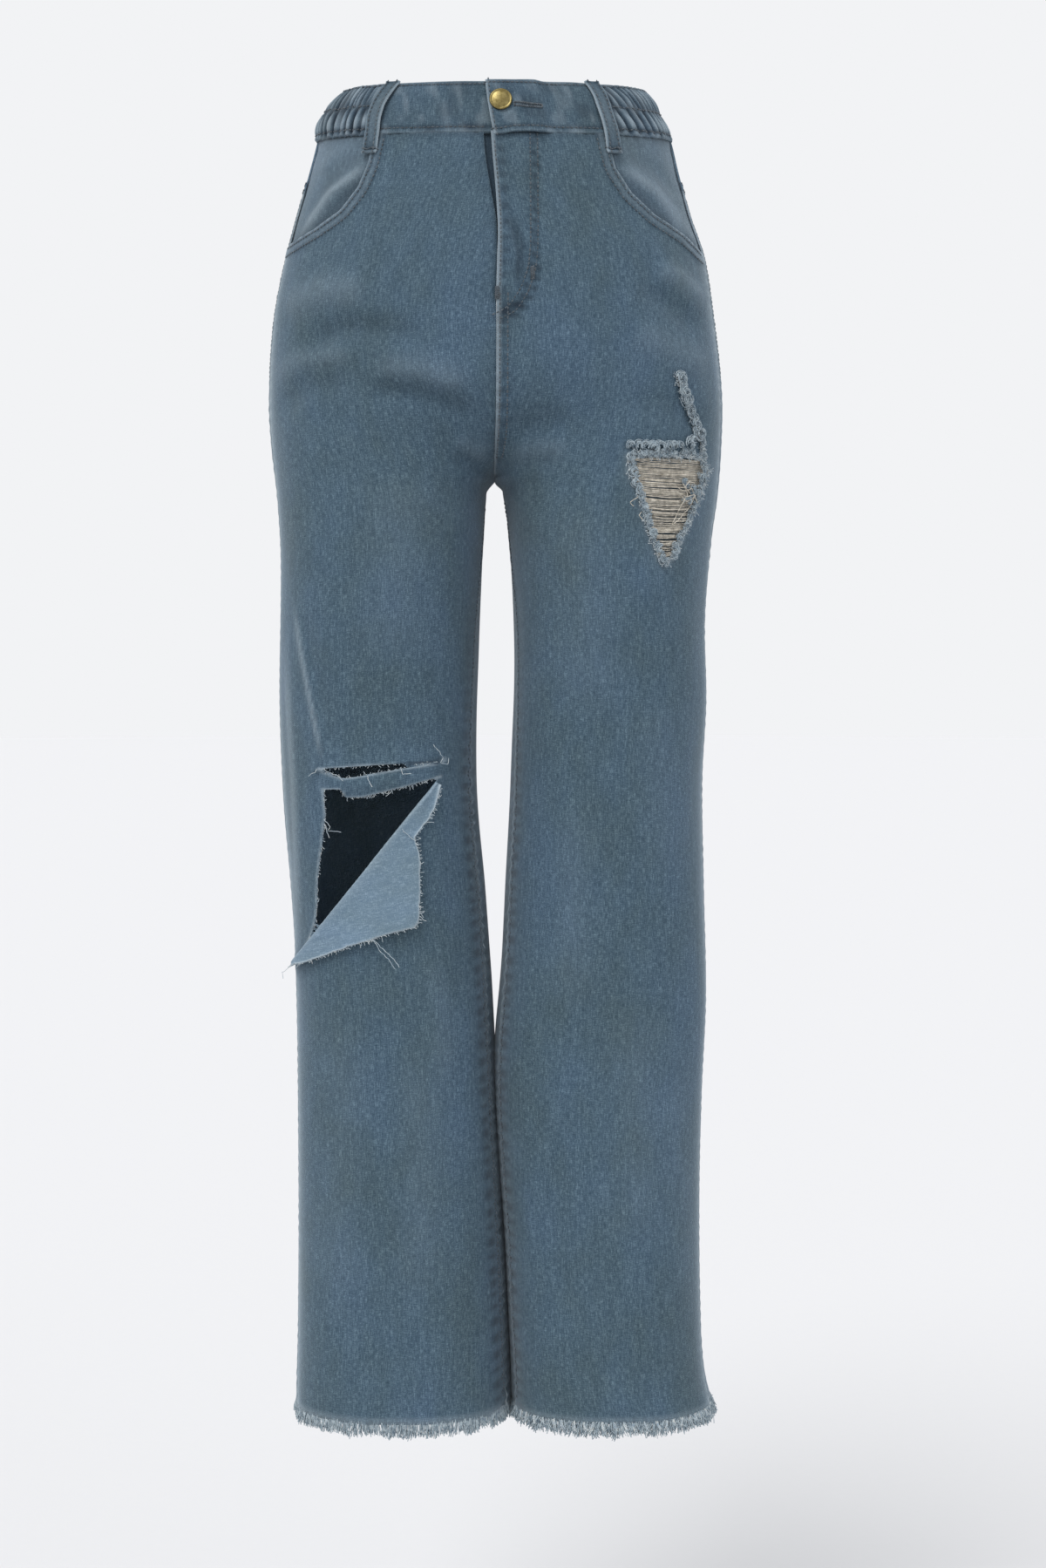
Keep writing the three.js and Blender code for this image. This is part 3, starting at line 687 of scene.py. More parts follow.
def panel_rows(low, high, fine=(), step=ROW_STEP):
    rows = [np.arange(low, high, step), [high]]
    rows += [np.arange(a, b, close) for a, b, close in fine]
    merged = np.unique(np.round(np.concatenate(rows), 2))
    keep = np.concatenate([[True], np.diff(merged) > 0.7])
    return np.append(merged[keep][:-1], high)


def mirrored(points, side, raised=0):
    """Points given for the wearer's left side, for either side."""
    return [[side * x, height + raised] for x, height in points]


def fold_relief(side, face, x, z):
    """The sum of a panel's soft folds."""
    if face == FRONT:
        folds = RIGHT_FRONT_FOLDS if side == RIGHT else LEFT_FRONT_FOLDS
    else:
        folds = [(mirrored(line, side, 6 * side), width, rise) for line, width, rise in BACK_FOLDS]
    total = np.zeros(x.shape)
    for points, width, rise in folds:
        total += crease(x, z, points, width, rise)
    return total * (LEG_FOLD_DEPTH + (HIP_FOLD_DEPTH - LEG_FOLD_DEPTH) * ramp(640, 740, z))


def panel_relief(side, face, plain, height):
    from_side, from_centre = plain.across, plain.from_end
    x, z = plain.points[..., 0], plain.points[..., 2]
    relief = general_undulation(side, face, from_side, z) + fold_relief(side, face, x, z)
    calm = ramp(0, 16, from_side) * ramp(0, 14, from_centre)
    relief = relief * (0.25 + 0.75 * calm)
    below_crotch = ramp(CROTCH + 4, CROTCH - 16, z)
    relief += pucker(z, from_side, 9.5, 7, 0.35, 11 + side) * ramp(900, 860, z)
    inseam_rise = (1.5 if side == RIGHT else 0.9) * ramp(640, 420, z) + 0.2
    inseam_tucks = pucker(z, from_centre, 10, 7.5, 1, 21 + side) - bell(from_centre, 16)
    relief += inseam_tucks * inseam_rise * below_crotch
    # Below the knee the inner sides of the legs touch.
    legs_meet = ramp(480, 390, z) * (0.45 + 0.55 * ramp(10, 90, z))
    relief += 1.6 * legs_meet * ramp(70, 20, from_centre)
    relief += pucker(z, from_centre, 9, 5, 0.8, 31) * (1 - below_crotch) * ramp(850, 830, z)
    if face == FRONT:
        centre_band = 10 if side == LEFT else 1.5
        relief += felled(from_centre, centre_band, 0.6) * (1 - below_crotch)
        relief += felled(from_centre, 8, 0.45) * below_crotch
    else:
        relief += felled(from_side, 9, 0.5)
        relief += felled(from_centre, 9, 0.5) * (1 - below_crotch)
    hem = ramp(26, 0, height)
    relief += hem * (1.3 * noise(from_side / 21, 0.3, 61 + side) - 0.1)
    return relief


def shade_under_band(cloth):
    # Painted shadow on the cloth just under the waistband's edge.
    cloth.dye_and_shade += UNDER_BAND_SHADOW * bell(cloth.from_top, 3.2)


def panel_wear_and_shade(cloth, side, face, z):
    from_side, from_centre = cloth.across, cloth.from_end
    # Painted highlight on the folds' crests and painted shade in their troughs.
    folds = fold_relief(side, face, cloth.points[..., 0], z)
    cloth.wear_and_highlight += 0.022 * np.maximum(folds, 0)
    cloth.dye_and_shade += 0.045 * np.maximum(-folds, 0)
    ladder = 0.5 + 0.5 * np.cos(2 * np.pi * (z / 11.2 + 0.5 * noise(z / 37, 0.5 + side, 29)))
    rungs = ramp(0.35, 0.75, ladder)
    below_crotch = ramp(CROTCH + 4, CROTCH - 16, z)
    side_wear, side_width = (0.4, 8) if face == FRONT else (0.28, 5)
    cloth.wear_and_highlight += side_wear * bell(from_side, side_width) * (0.35 + 0.65 * ladder)
    # Paler towards the side seam: seam wear, with painted sheen where the leg turns away at its edge.
    cloth.wear_and_highlight += 0.08 * bell(from_side, 17)
    if side == LEFT or face == BACK:
        cloth.wear_and_highlight += 0.46 * bell(from_centre, 1.2)
    cloth.wear_and_highlight += 0.25 * ramp(7, 0, z)
    # Paler again near the side seam: wear, with painted sheen at the edge.
    cloth.wear_and_highlight += 0.14 * ramp(26, 4, from_side)
    centre_shade = 0.7 if side == LEFT or face == BACK else 0.25
    centre_band = bell(from_centre - 5.5, 4.0) * (0.2 + 0.8 * rungs)
    cloth.dye_and_shade += centre_shade * centre_band * (1 - below_crotch)
    inseam_place = 16 if side == RIGHT else 11
    inseam_band = bell(from_centre - inseam_place, 6.5) * rungs
    cloth.dye_and_shade += (0.3 + 0.8 * ramp(620, 440, z)) * inseam_band * below_crotch
    # Painted light on the inner edges of the legs, lifting the shade between them.
    cloth.wear_and_highlight += 0.08 * bell(from_centre, 11) * below_crotch
    cloth.dye_and_shade += 0.25 * bell(from_side - 4, 4) * ladder


@functools.lru_cache(None)
def front_cloth(side):
    fine = [(470, 500, 1.1)] if side == RIGHT else [(640, 730, 1.7), (CROTCH, 965, 2.2)]
    grid_u, grid_h = panel_grid(panel_rows(0, WAIST_SEAM - SEAM_GAP, fine))
    base = panel_point(side, FRONT, grid_u, grid_h)
    relief = panel_relief(side, FRONT, Cloth(base, side * FRONT), grid_h)
    x, z = base[..., 0], base[..., 2]
    mouth = POCKET_MOUTHS[side]
    gap = gap_to(x, z, mouth)
    relief += felled(gap, 9.5, 0.9)
    relief += 0.5 * noise(z / 5, x / 5, 77) * bell(gap - 5, 4)
    if side == LEFT:
        relief += fly_relief(x, z)
        rim = gap_to(x, z, THIGH_RIP + THIGH_RIP[:1])
        relief += 1.1 * bell(rim, 5) * (0.6 + 0.6 * noise(x / 5, z / 5, 90))
    else:
        # The strip between the knee's slit and hole sags, and the torn edges stand up.
        strip = ramp(-134, -120, x) * ramp(-36, -52, x)
        sag = bell(z - 482 - 0.1 * (x + 90), 9)
        relief += 3.2 * strip * sag
        relief += 1.6 * bell(gap_to(x, z, KNEE_SLIT[:3]), 7) * (z > 490)
        relief += 1.2 * bell(gap_to(x, z, FLAP_FOLD), 8)
    cloth = Cloth(base, side * FRONT, relief)
    panel_wear_and_shade(cloth, side, FRONT, z)
    cloth.wear_and_highlight += 0.4 * bell(gap, 1.1) + 0.12 * bell(gap - 5.4, 1.6)
    cloth.dye_and_shade += 0.16 * bell(gap - 5.5, 3.8)
    for row in MOUTH_ROWS:
        cloth.dye_and_shade += 0.45 * bell(gap - row, 1.1)
    shade_under_band(cloth)
    if side == RIGHT:
        # Painted highlight along the crests of two sharp folds on the outer side of the leg.
        cloth.wear_and_highlight += 0.3 * crease(x, z, RIGHT_FRONT_FOLDS[8][0], 1.5, 1)
        cloth.wear_and_highlight += 0.2 * crease(x, z, RIGHT_FRONT_FOLDS[10][0], 3, 1)
        for outline in (KNEE_SLIT + KNEE_SLIT[:1], KNEE_TORN):
            cloth.wear_and_highlight += 0.45 * bell(gap_to(x, z, outline), 1.0)
        # At its inner end the slit is closed: a painted shadow line where its edges touch.
        closed_end = gap_to(x, z, [[-70, 496.6], [-42, 498.1]])
        cloth.dye_and_shade += 1.2 * bell(closed_end, 0.9)
        cloth.wear_and_highlight -= 0.6 * bell(closed_end, 1.2)
    else:
        cloth.wear_and_highlight += 0.45 * bell(rim, 2.4) + 0.05 * bell(rim, 9)
        cloth.dye_and_shade += fly_shade(x, z)
    above_waist = WAIST_SEAM + 31.5
    cloth.cut(mouth + [[mouth[-1][0], above_waist], [mouth[0][0], above_waist]])
    for outline in (KNEE_SLIT, KNEE_HOLE) if side == RIGHT else (THIGH_RIP,):
        cloth.cut(outline)
    cloth.wear_and_highlight = np.clip(cloth.wear_and_highlight, 0, 1)
    return cloth


FLY_CURVE = [[32.5, 968], [33, 930], [33, 880], [31.5, 862], [26, 844], [17, 830], [5, 824]]
# Tucks of the fly: points, half width, rise and how much of each end fades out.
FLY_TUCKS = [
    ([[7, 902], [15, 872], [13, 836]], 3.6, 3.4, 0.3),
    ([[13, 906], [20, 876], [19, 842]], 3.2, -2.6, 0.3),
    ([[22, 896], [27, 866], [24, 840]], 3.4, 1.8, 0.3),
    ([[8, 846], [18, 838], [30, 846]], 3.0, 1.4, 0.3),
    ([[2, 966], [6, 920], [8, 870]], 4.0, 1.5, 0.25),
    ([[12, 964], [14, 930], [12, 900]], 4.0, -1.0, 0.25),
]


def fly_relief(x, z):
    """The fly's double cloth, its J of stitching and the tucks above the bartack."""
    gap = gap_to(x, z, FLY_CURVE)
    inside = ramp(34, 30.5, x) * ramp(818, 832, z + 0.35 * np.maximum(x - 14, 0))
    relief = 1.0 * inside * (x > -20)
    relief -= 0.9 * bell(gap, 2.4) * (1 - 0.4 * inside)
    relief += 0.55 * np.cos(2 * np.pi * (z + 0.4 * x) / 8.5) * bell(gap, 4.5)
    for points, width, rise, fade in FLY_TUCKS:
        relief += crease(x, z, points, width, rise, fade)
    relief += 1.5 * ramp(9, 1, x) * ramp(832, 846, z)
    return relief


def fly_shade(x, z):
    """Where the fly's stitching has kept the cloth dark, with painted shade in a tuck's trough and
    under the foot of the J.
    """
    gap = gap_to(x, z, FLY_CURVE)
    rungs = 0.55 + 0.45 * np.cos(2 * np.pi * (z + 0.4 * x) / 8.5)
    shade = 1.1 * bell(gap - 2.6, 3.2) * (x < 34) * rungs
    shade += crease(x, z, FLY_TUCKS[1][0], 3.2, 0.8, 0.3)
    shade += crease(x, z, [[4, 838], [14, 832], [24, 838]], 3.5, 0.6, 0.2)
    return shade


@functools.lru_cache(None)
def back_cloth(side):
    grid_u, grid_h = panel_grid(panel_rows(0, YOKE_SIDE, step=BACK_ROW_STEP))
    above = np.maximum(0, grid_h - 790) / (YOKE_SIDE - 790)
    heights = grid_h + above * (YOKE_CENTRE - YOKE_SIDE) * grid_u - above * SEAM_GAP
    base = panel_point(side, BACK, grid_u, heights)
    relief = panel_relief(side, BACK, Cloth(base, side * BACK), grid_h)
    cloth = Cloth(base, side * BACK, relief)
    panel_wear_and_shade(cloth, side, BACK, base[..., 2])
    cloth.dye_and_shade += 0.2 * bell(cloth.from_top - 4, 4)
    cloth.wear_and_highlight = np.clip(cloth.wear_and_highlight, 0, 1)
    return cloth


@functools.lru_cache(None)
def yoke_cloth(side):
    grid_u, grid_part = panel_grid(np.linspace(0, 1, YOKE_ROWS))
    low = YOKE_SIDE + (YOKE_CENTRE - YOKE_SIDE) * grid_u
    heights = low + (WAIST_SEAM - SEAM_GAP - low) * grid_part
    base = panel_point(side, BACK, grid_u, heights)
    plain = Cloth(base, side * BACK)
    up = plain.along
    relief = general_undulation(side, BACK, plain.across, base[..., 2]) * 0.5
    relief += felled(up, 8.5, 0.55)
    relief += felled(plain.from_end, 9, 0.5)
    relief += pucker(plain.across, up, 9, 6, 0.3, 55 + side)
    cloth = Cloth(base, side * BACK, relief)
    cloth.wear_and_highlight += 0.5 * bell(up, 1.1)
    cloth.wear_and_highlight += 0.42 * bell(plain.from_end, 1.0)
    cloth.dye_and_shade += 0.22 * bell(up - 5, 4)
    shade_under_band(cloth)
    return cloth


# Folds of the pocket facings: points, half width, rise and how much of each end fades out.
POCKET_FOLDS = {
    RIGHT: [
        ([[-92, 943], [-123, 925], [-138, 908], [-148, 892]], 5.0, 2.6, 0.1),
        ([[-98, 932], [-120, 912], [-138, 894]], 6, -1.8, 0.1),
        ([[-98, 962], [-118, 956], [-136, 944]], 7, 1.8, 0.25),
    ],
    LEFT: [
        ([[94, 944], [120, 930], [140, 910], [152, 890]], 6, 2.6, 0.1),
        ([[98, 956], [124, 946], [144, 930]], 6, -1.6, 0.1),
    ],
}
# Where painted highlight and painted shade fall on the facings' folds, for the wearer's left side.
POCKET_RIDGE = [[92, 945], [123, 927], [138, 909], [148, 893]]
POCKET_TROUGHS = [[[98, 934], [120, 915], [138, 896]], [[94, 956], [116, 944], [140, 922]]]


@functools.lru_cache(None)
def pocket_cloth(side):
    rows = panel_rows(POCKET_LOW, WAIST_SEAM - SEAM_GAP)
    grid_u, grid_h = panel_grid(rows, POCKET_COLUMNS, POCKET_REACH)
    base = panel_point(side, FRONT, grid_u, grid_h)
    x, z = base[..., 0], base[..., 2]
    relief = np.full(x.shape, -(DENIM_WALL + SEAM_GAP)) + 0.6 * noise(x / 16, z / 12, 71 + side)
    for points, width, rise, fade in POCKET_FOLDS[side]:
        relief += crease(x, z, points, width, rise, fade)
    mouth = POCKET_MOUTHS[side]
    # Where it shows, the top of the facing rises to meet the waistband.
    seen = ramp(1, 6, np.abs(x) - abs(mouth[0][0]))
    relief += 1.4 * bell(Cloth(base, side * FRONT).from_top, 4) * seen
    cloth = Cloth(base, side * FRONT, relief)
    cloth.wear_and_highlight += 0.24 * crease(x, z, mirrored(POCKET_RIDGE, side), 4, 1)
    # Paler towards the top of the facing, as painted light.
    cloth.wear_and_highlight += 0.07 * ramp(920, 965, z) + 0.03
    for trough in POCKET_TROUGHS:
        cloth.dye_and_shade += 0.34 * crease(x, z, mirrored(trough, side), 5, 1)
    # Painted shade under the mouth's edge and deeper down in the pocket.
    gap = gap_to(x, z, mouth)
    cloth.dye_and_shade += 0.45 * bell(gap, 5) + 0.12 * ramp(940, 890, z)
    shade_under_band(cloth)
    return cloth


# ---------------- waistband

# Azimuths where the pieces of the waistband meet, under the belt loops.
LOOP_SEAM_RIGHT, LOOP_SEAM_LEFT = 128.5, 52.5
LOOP_BACK_RIGHT, LOOP_BACK_LEFT = 228.0, 312.0
MIDDLE_OF_BAND = (WAIST_SEAM + WAIST_TOP) / 2
ELASTIC_MIDDLE = 0.52
BAND_ROWS = 34
BAND_COVER = 0.9
MM_PER_DEGREE = 2.35
# The lapped end leans: over how many degrees, and how far its foot goes back and down.
LEAN_FROM = 9
LEAN_BACK = 2.4
LEAN_DOWN = 2.2


def lap_lift(azimuth):
    start = azimuth_at(UNDERLAP_REACH + 12, MIDDLE_OF_BAND)
    end = azimuth_at(UNDERLAP_REACH + 2, MIDDLE_OF_BAND)
    return LAP_LIFT * ramp(float(start), float(end), azimuth)


def gathers(across, part, seed, tightness):
    """Rows of soft ridges that the elastic pulls up, pinched at the edges and the middle row."""
    lower = np.clip(part / ELASTIC_MIDDLE, 0, 1)
    upper = np.clip((part - ELASTIC_MIDDLE) / (1 - ELASTIC_MIDDLE), 0, 1)
    low_beat = across / 8.0 + 0.8 * noise(across / 19, 0.5, seed) + 0.12 * lower
    high_beat = across / 6.2 + 0.8 * noise(across / 15, 0.5, seed + 1) - 0.15 * upper
    low = np.abs(np.cos(np.pi * low_beat)) ** 0.8 - 0.62
    high = np.abs(np.cos(np.pi * high_beat)) ** 0.8 - 0.62
    uneven_low = 0.75 + 0.4 * noise(across / 9, 1.5, seed + 2)
    uneven_high = 0.75 + 0.4 * noise(across / 7, 1.5, seed + 3)
    low = low * 5.0 * uneven_low * arch(lower) ** 0.3 + 0.9 * arch(lower)
    high = high * 4.0 * uneven_high * arch(upper) ** 0.3 + 0.6 * arch(upper)
    return np.where(part < ELASTIC_MIDDLE, low, high) * tightness


def band_cloth(start, end, seed, elastic, lapped):
    width = abs(end - start) * MM_PER_DEGREE
    columns = max(24, int(width / (0.9 if elastic else 1.8)))
    grid_a, part = np.meshgrid(np.linspace(start, end, columns), np.linspace(0, 1, BAND_ROWS))
    low = WAIST_SEAM - BAND_COVER
    heights = low + (WAIST_TOP - low) * part
    if lapped:
        leaning = ramp(end - LEAN_FROM, end, grid_a)
        grid_a = grid_a - LEAN_BACK * leaning * (1 - part)
        heights = heights - LEAN_DOWN * leaning * (1 - part)
    base = waist_point(grid_a, heights)
    plain = Cloth(base, -1)
    up, top = plain.along, plain.from_top
    relief = np.full(part.shape, BAND_LIFT) + 0.5 * noise(plain.across / 17, up / 14, seed)
    # Rolled edges, and the grooves that the two rows of stitches pull down.
    relief += 0.35 * bell(up - 1.3, 1.5) + 0.4 * bell(top - 1, 1.3)
    relief -= 0.7 * bell(up - 4.6, 1.1) + 0.5 * bell(top - 3, 1)
    relief -= 0.9 * bell(top, 0.7) + 0.35 * bell(up, 0.5)
    if elastic:
        ends = ramp(0, 7, plain.across) * ramp(0, 7, plain.from_end)
        relief += gathers(plain.across, part, seed, elastic) * (0.35 + 0.65 * ends)
        relief += 0.55 * noise(plain.across / 2.4, up / 10, seed + 6)
    else:
        relief += pucker(plain.across, np.abs(up - 5), 6.5, 4, 0.4, seed + 4)
        wrinkles = noise((plain.across + 0.3 * up) / 12, up / 34, seed + 5)
        relief += 1.2 * wrinkles * arch(part)
    if lapped:
        relief += lap_lift(grid_a)
        relief += 0.6 * bell(plain.from_end - 1.4, 1.6) - 0.8 * bell(plain.from_end, 0.6)
        # The cloth dips under the button and swells round it.
        button = gap_to(base[..., 0], base[..., 2], [[BUTTON_X, 988], [BUTTON_X + 1, 988]])
        relief -= 0.7 * bell(button, 7)
        relief += 0.8 * bell(button - 13, 4)
    cloth = Cloth(base, -1, relief)
    cloth.dye_and_shade += 0.2
    cloth.wear_and_highlight += 0.1 * bell(up - 1.0, 0.9)
    cloth.wear_and_highlight += 0.18 * bell(top, 1.4)
    cloth.dye_and_shade += 0.6 * bell(up - 4.8, 1.5) + 0.35 * bell(top - 2.8, 1.2)
    if elastic:
        # Painted highlight on the crests of the gathers and painted shade between them.
        ridge = np.clip((relief - 0.2) / (np.percentile(relief, 96) - 0.2), 0, 1)
        cloth.wear_and_highlight += 0.38 * ridge**3
        cloth.dye_and_shade += 1.1 * (1 - ridge) ** 2 * arch(part) ** 0.4
    if lapped:
        cloth.wear_and_highlight += 0.55 * bell(plain.from_end, 1.4)
    cloth.wear_and_highlight += 0.13 * ramp(0.05, 0.8, noise(plain.across / 6, up / 12, seed + 8))
    cloth.dye_and_shade += 0.5 * ramp(0.1, 0.8, noise(plain.across / 10, up / 18, seed + 9))
    cloth.wear_and_highlight = np.clip(cloth.wear_and_highlight, 0, 1)
    return cloth


@functools.lru_cache(None)
def waistband():
    """The five pieces of the waistband, by name: cloth and the node each replaces."""
    lap_edge = float(azimuth_at(-FLY_LAP, MIDDLE_OF_BAND))
    underlap = float(azimuth_at(UNDERLAP_REACH, MIDDLE_OF_BAND))
    pieces = {
        "right_front": (underlap, LOOP_SEAM_RIGHT, 5, 0.0, False),
        "left_front": (LOOP_SEAM_LEFT, lap_edge, 6, 0.0, True),
        "right_elastic": (LOOP_SEAM_RIGHT, LOOP_BACK_RIGHT, 7, 1.0, False),
        "left_elastic": (LOOP_BACK_LEFT - 360, LOOP_SEAM_LEFT, 8, 0.8, False),
        "back": (LOOP_BACK_RIGHT, LOOP_BACK_LEFT, 9, 0.0, False),
    }
    made = {}
    for name, (start, end, seed, elastic, lapped) in pieces.items():
        node = "_".join(["band", *reversed(name.split("_"))])
        made[f"waistband_{name}"] = (band_cloth(start, end, seed, elastic, lapped), node)
    return made


# Belt loops: name, node, azimuth at the bottom and at the top.
BELT_LOOPS = [
    ("loop_right_front", "belt_loop_front_right", LOOP_SEAM_RIGHT, 128.0),
    ("loop_left_front", "belt_loop_front_left", LOOP_SEAM_LEFT, 53.0),
    ("loop_right_back", "belt_loop_back_right", LOOP_BACK_RIGHT, 228.0),
    ("loop_left_back", "belt_loop_back_left", LOOP_BACK_LEFT, 312.0),
    ("loop_centre_back", "belt_loop_back_centre", 270.0, 270.0),
]
LOOP_WIDTH = 13
LOOP_DROP = 15
LOOP_WALL = 1.6
LOOP_STAND_OFF = 1.6


@functools.lru_cache(None)
def loop_cloth(low_azimuth, high_azimuth):
    low = WAIST_SEAM - LOOP_DROP
    across, part = np.meshgrid(np.linspace(-0.5, 0.5, 19), np.linspace(0, 1, 46))
    heights = low + (WAIST_TOP + 0.4 - low) * part
    middle = low_azimuth + (high_azimuth - low_azimuth) * part
    step = waist_point(middle + 1, heights) - waist_point(middle - 1, heights)
    degree = np.linalg.norm(step, axis=-1) / 2
    waisted = 1 - 0.06 * arch(part)
    base = waist_point(middle + across * LOOP_WIDTH * waisted / degree, heights)
    relief = BAND_LIFT + SEAM_GAP + LOOP_WALL + LOOP_STAND_OFF * arch(part)
    edge = (0.5 - np.abs(across)) * LOOP_WIDTH
    relief = relief + 0.8 * bell(edge - 1.7, 1.2) - 0.8 * bell(edge, 0.5)
    relief += 0.25 * noise(across * 3, part * 9, 17)
    # Tacked down near its foot and its top, with the folded foot standing out.
    relief -= 0.9 * bell(part - 0.045, 0.02)
    relief += 0.9 * bell(part, 0.02)
    relief -= 0.8 * bell(part - 0.97, 0.02)
    cloth = Cloth(base, -1, relief)
    cloth.wear_and_highlight += 0.7 * bell(edge, 0.9) + 0.2 * bell(part, 0.02)
    # Painted shadow in the dip where the foot is tacked down.
    cloth.dye_and_shade += 0.5 * bell(part - 0.06, 0.03)
    cloth.wear_and_highlight += 0.1 * arch(part)
    cloth.dye_and_shade += 0.4 * bell(edge - 3.4, 1.3) + 0.26 * ramp(1.5, 3, edge)
    cloth.wear_and_highlight = np.clip(cloth.wear_and_highlight, 0, 1)
    return cloth


# ---------------- knee flap and fly shield


FLAP_ROLL_RADIUS = 1.4
FLAP_STAND_OFF = 0.6


@functools.lru_cache(None)
def flap_cloth():
    """The torn cloth turned down: it rolls over its fold and hangs with its wrong side out."""
    start, end = (np.array(p, float) for p in FLAP_FOLD)
    length = np.linalg.norm(end - start)
    down = (end - start) / length
    away = np.array([-down[1], down[0]])
    reach_at = np.array(FLAP_REACH, float).T
    roll = np.linspace(0, np.pi, 8)
    flat = np.linspace(0, 1, 30)[1:]
    radius = FLAP_ROLL_RADIUS
    s = np.linspace(0, length, 90)
    reach = np.interp(s, reach_at[0], reach_at[1])
    reach = reach + 0.7 * noise(s / 3.1, 0.5, 81) * ramp(0, 20, s)
    fold_line = start + down * s[:, None]
    rows = []
    for angle in roll:
        spot = fold_line - away * radius * math.sin(angle)
        rows.append((spot, np.full(len(s), radius * (1 - math.cos(angle)) + FLAP_STAND_OFF)))
    for f in flat:
        spot = fold_line + away * (reach * f)[:, None]
        lift = 2 * radius + FLAP_STAND_OFF + 2.6 * f * ramp(10, 60, reach) + 1.6 * f**3
        lift = lift + 0.5 * noise(s / 16, f * 2, 83)
        rows.append((spot, lift))
    points = np.array([front_cloth(RIGHT).place(*spot.T, lift) for spot, lift in rows])
    cloth = Cloth(points, 1)
    turned = 2 * down[1] * down - np.array([0, 1])
    front_view = points[..., [0, 2]]
    cloth.flat = np.stack(
        [front_view @ np.array([-turned[1], turned[0]]), front_view @ turned], axis=2
    )
    edge = np.concatenate([np.zeros(len(roll)), flat])[:, None] * np.ones(len(s))
    gap = (1 - edge) * reach
    cloth.wear_and_highlight += 0.5 * bell(gap, 0.9) * (edge > 0)
    fold = np.arange(len(rows))[:, None] * np.ones(len(s))
    cloth.wear_and_highlight += 0.15 * bell(fold - 5, 3)
    return cloth


@functools.lru_cache(None)
def shield_cloth():
    grid_x, grid_h = np.meshgrid(np.linspace(-24, UNDERLAP_REACH, 24), np.linspace(852, 978, 50))
    base = waist_point(azimuth_at(grid_x, grid_h), grid_h)
    cloth = Cloth(base, 1, np.full(grid_x.shape, -(DENIM_WALL + 1.0)))
    # Painted shade: the whole shield darkened as the shadowed gap behind the fly.
    cloth.dye_and_shade += 0.9
    return cloth


# ---------------- materials


def linear(hex_colour):
    """An sRGB hex colour as the linear values that shaders take."""
    channels = [int(hex_colour[i : i + 2], 16) / 255 for i in (1, 3, 5)]
    bent = [c / 12.92 if c <= 0.04045 else ((c + 0.055) / 1.055) ** 2.4 for c in channels]
    return (*bent, 1.0)


def add_node(tree, kind, settings=None, **inputs):
    """Adds a node; inputs are links where they are sockets, and values where they are not."""
    node = tree.nodes.new(kind)
    for key, value in (settings or {}).items():
        setattr(node, key, value)
    for key, value in inputs.items():
        socket = node.inputs[int(key[1:])] if key[0] == "_" else node.inputs[key.replace("_", " ")]
        if isinstance(value, bpy.types.NodeSocket):
            tree.links.new(value, socket)
        else:
            socket.default_value = value
    return node


def new_material(name):
    material = bpy.data.materials.new(name)
    material.use_nodes = True
    material.node_tree.nodes.clear()
    return material, material.node_tree


def colour_ramp(tree, factor, stops):
    node = add_node(tree, "ShaderNodeValToRGB", Fac=factor)
    elements = node.color_ramp.elements
    while len(elements) < len(stops):
        elements.new(0.5)
    for element, (place, colour) in zip(elements, stops):
        element.position = place
        element.color = linear(colour)
    return node.outputs["Color"]


def end_material(tree, **inputs):
    """The tail of every material: one shader that takes the given inputs."""
    shader = add_node(tree, "ShaderNodeBsdfPrincipled", **inputs)
    add_node(tree, "ShaderNodeOutputMaterial", Surface=shader.outputs["BSDF"])


def object_place(tree):
    return add_node(tree, "ShaderNodeTexCoord").outputs["Object"]


def bumped(tree, height, strength, distance):
    bump = add_node(tree, "ShaderNodeBump", Strength=strength, Distance=distance, Height=height)
    return bump.outputs["Normal"]


def cloth_coordinates(tree, scale=(1000, 1000, 1000), turn=0.0):
    """The cloth's own flat coordinates in millimetres, warp along Y."""
    cloth_map = add_node(tree, "ShaderNodeUVMap", {"uv_map": "cloth"})
    mapping = add_node(
        tree, "ShaderNodeMapping", Vector=cloth_map.outputs["UV"], Scale=scale,
        Rotation=(0, 0, math.radians(turn)),
    )
    return mapping.outputs["Vector"]


def noise_value(tree, vector, detail, roughness, scale=1.0):
    node = add_node(
        tree, "ShaderNodeTexNoise", Vector=vector, Scale=scale, Detail=detail, Roughness=roughness
    )
    return node.outputs["Fac"]


def blend(tree, a, b, factor, kind="MIX"):
    node = add_node(
        tree, "ShaderNodeMix", {"data_type": "RGBA", "blend_type": kind}, _0=factor, _6=a, _7=b
    )
    return node.outputs[2]


def number(tree, operation, a, b=0.0, clamp=False):
    node = add_node(tree, "ShaderNodeMath", {"operation": operation, "use_clamp": clamp}, _0=a, _1=b)
    return node.outputs["Value"]


def weighted(tree, *parts):
    """The sum of values, each times its weight."""
    shares = [number(tree, "MULTIPLY", value, weight) for value, weight in parts]
    return functools.reduce(lambda total, share: number(tree, "ADD", total, share), shares)


def attribute_value(tree, name):
    return add_node(tree, "ShaderNodeAttribute", {"attribute_name": name}).outputs["Fac"]


# Noises of the denim: bumps to a metre across, along and through the cloth, detail, roughness.
YARNS = ((1650, 210, 1500), 3.0, 0.65)
SLUBS = ((520, 34, 500), 2.0, 0.6)
GRAIN = ((1500, 1200, 1400), 2.0, 0.75)
WEFT = ((240, 1550, 110), 2.0, 0.6)
WASH = ((15, 8, 15), 3.0, 0.6)


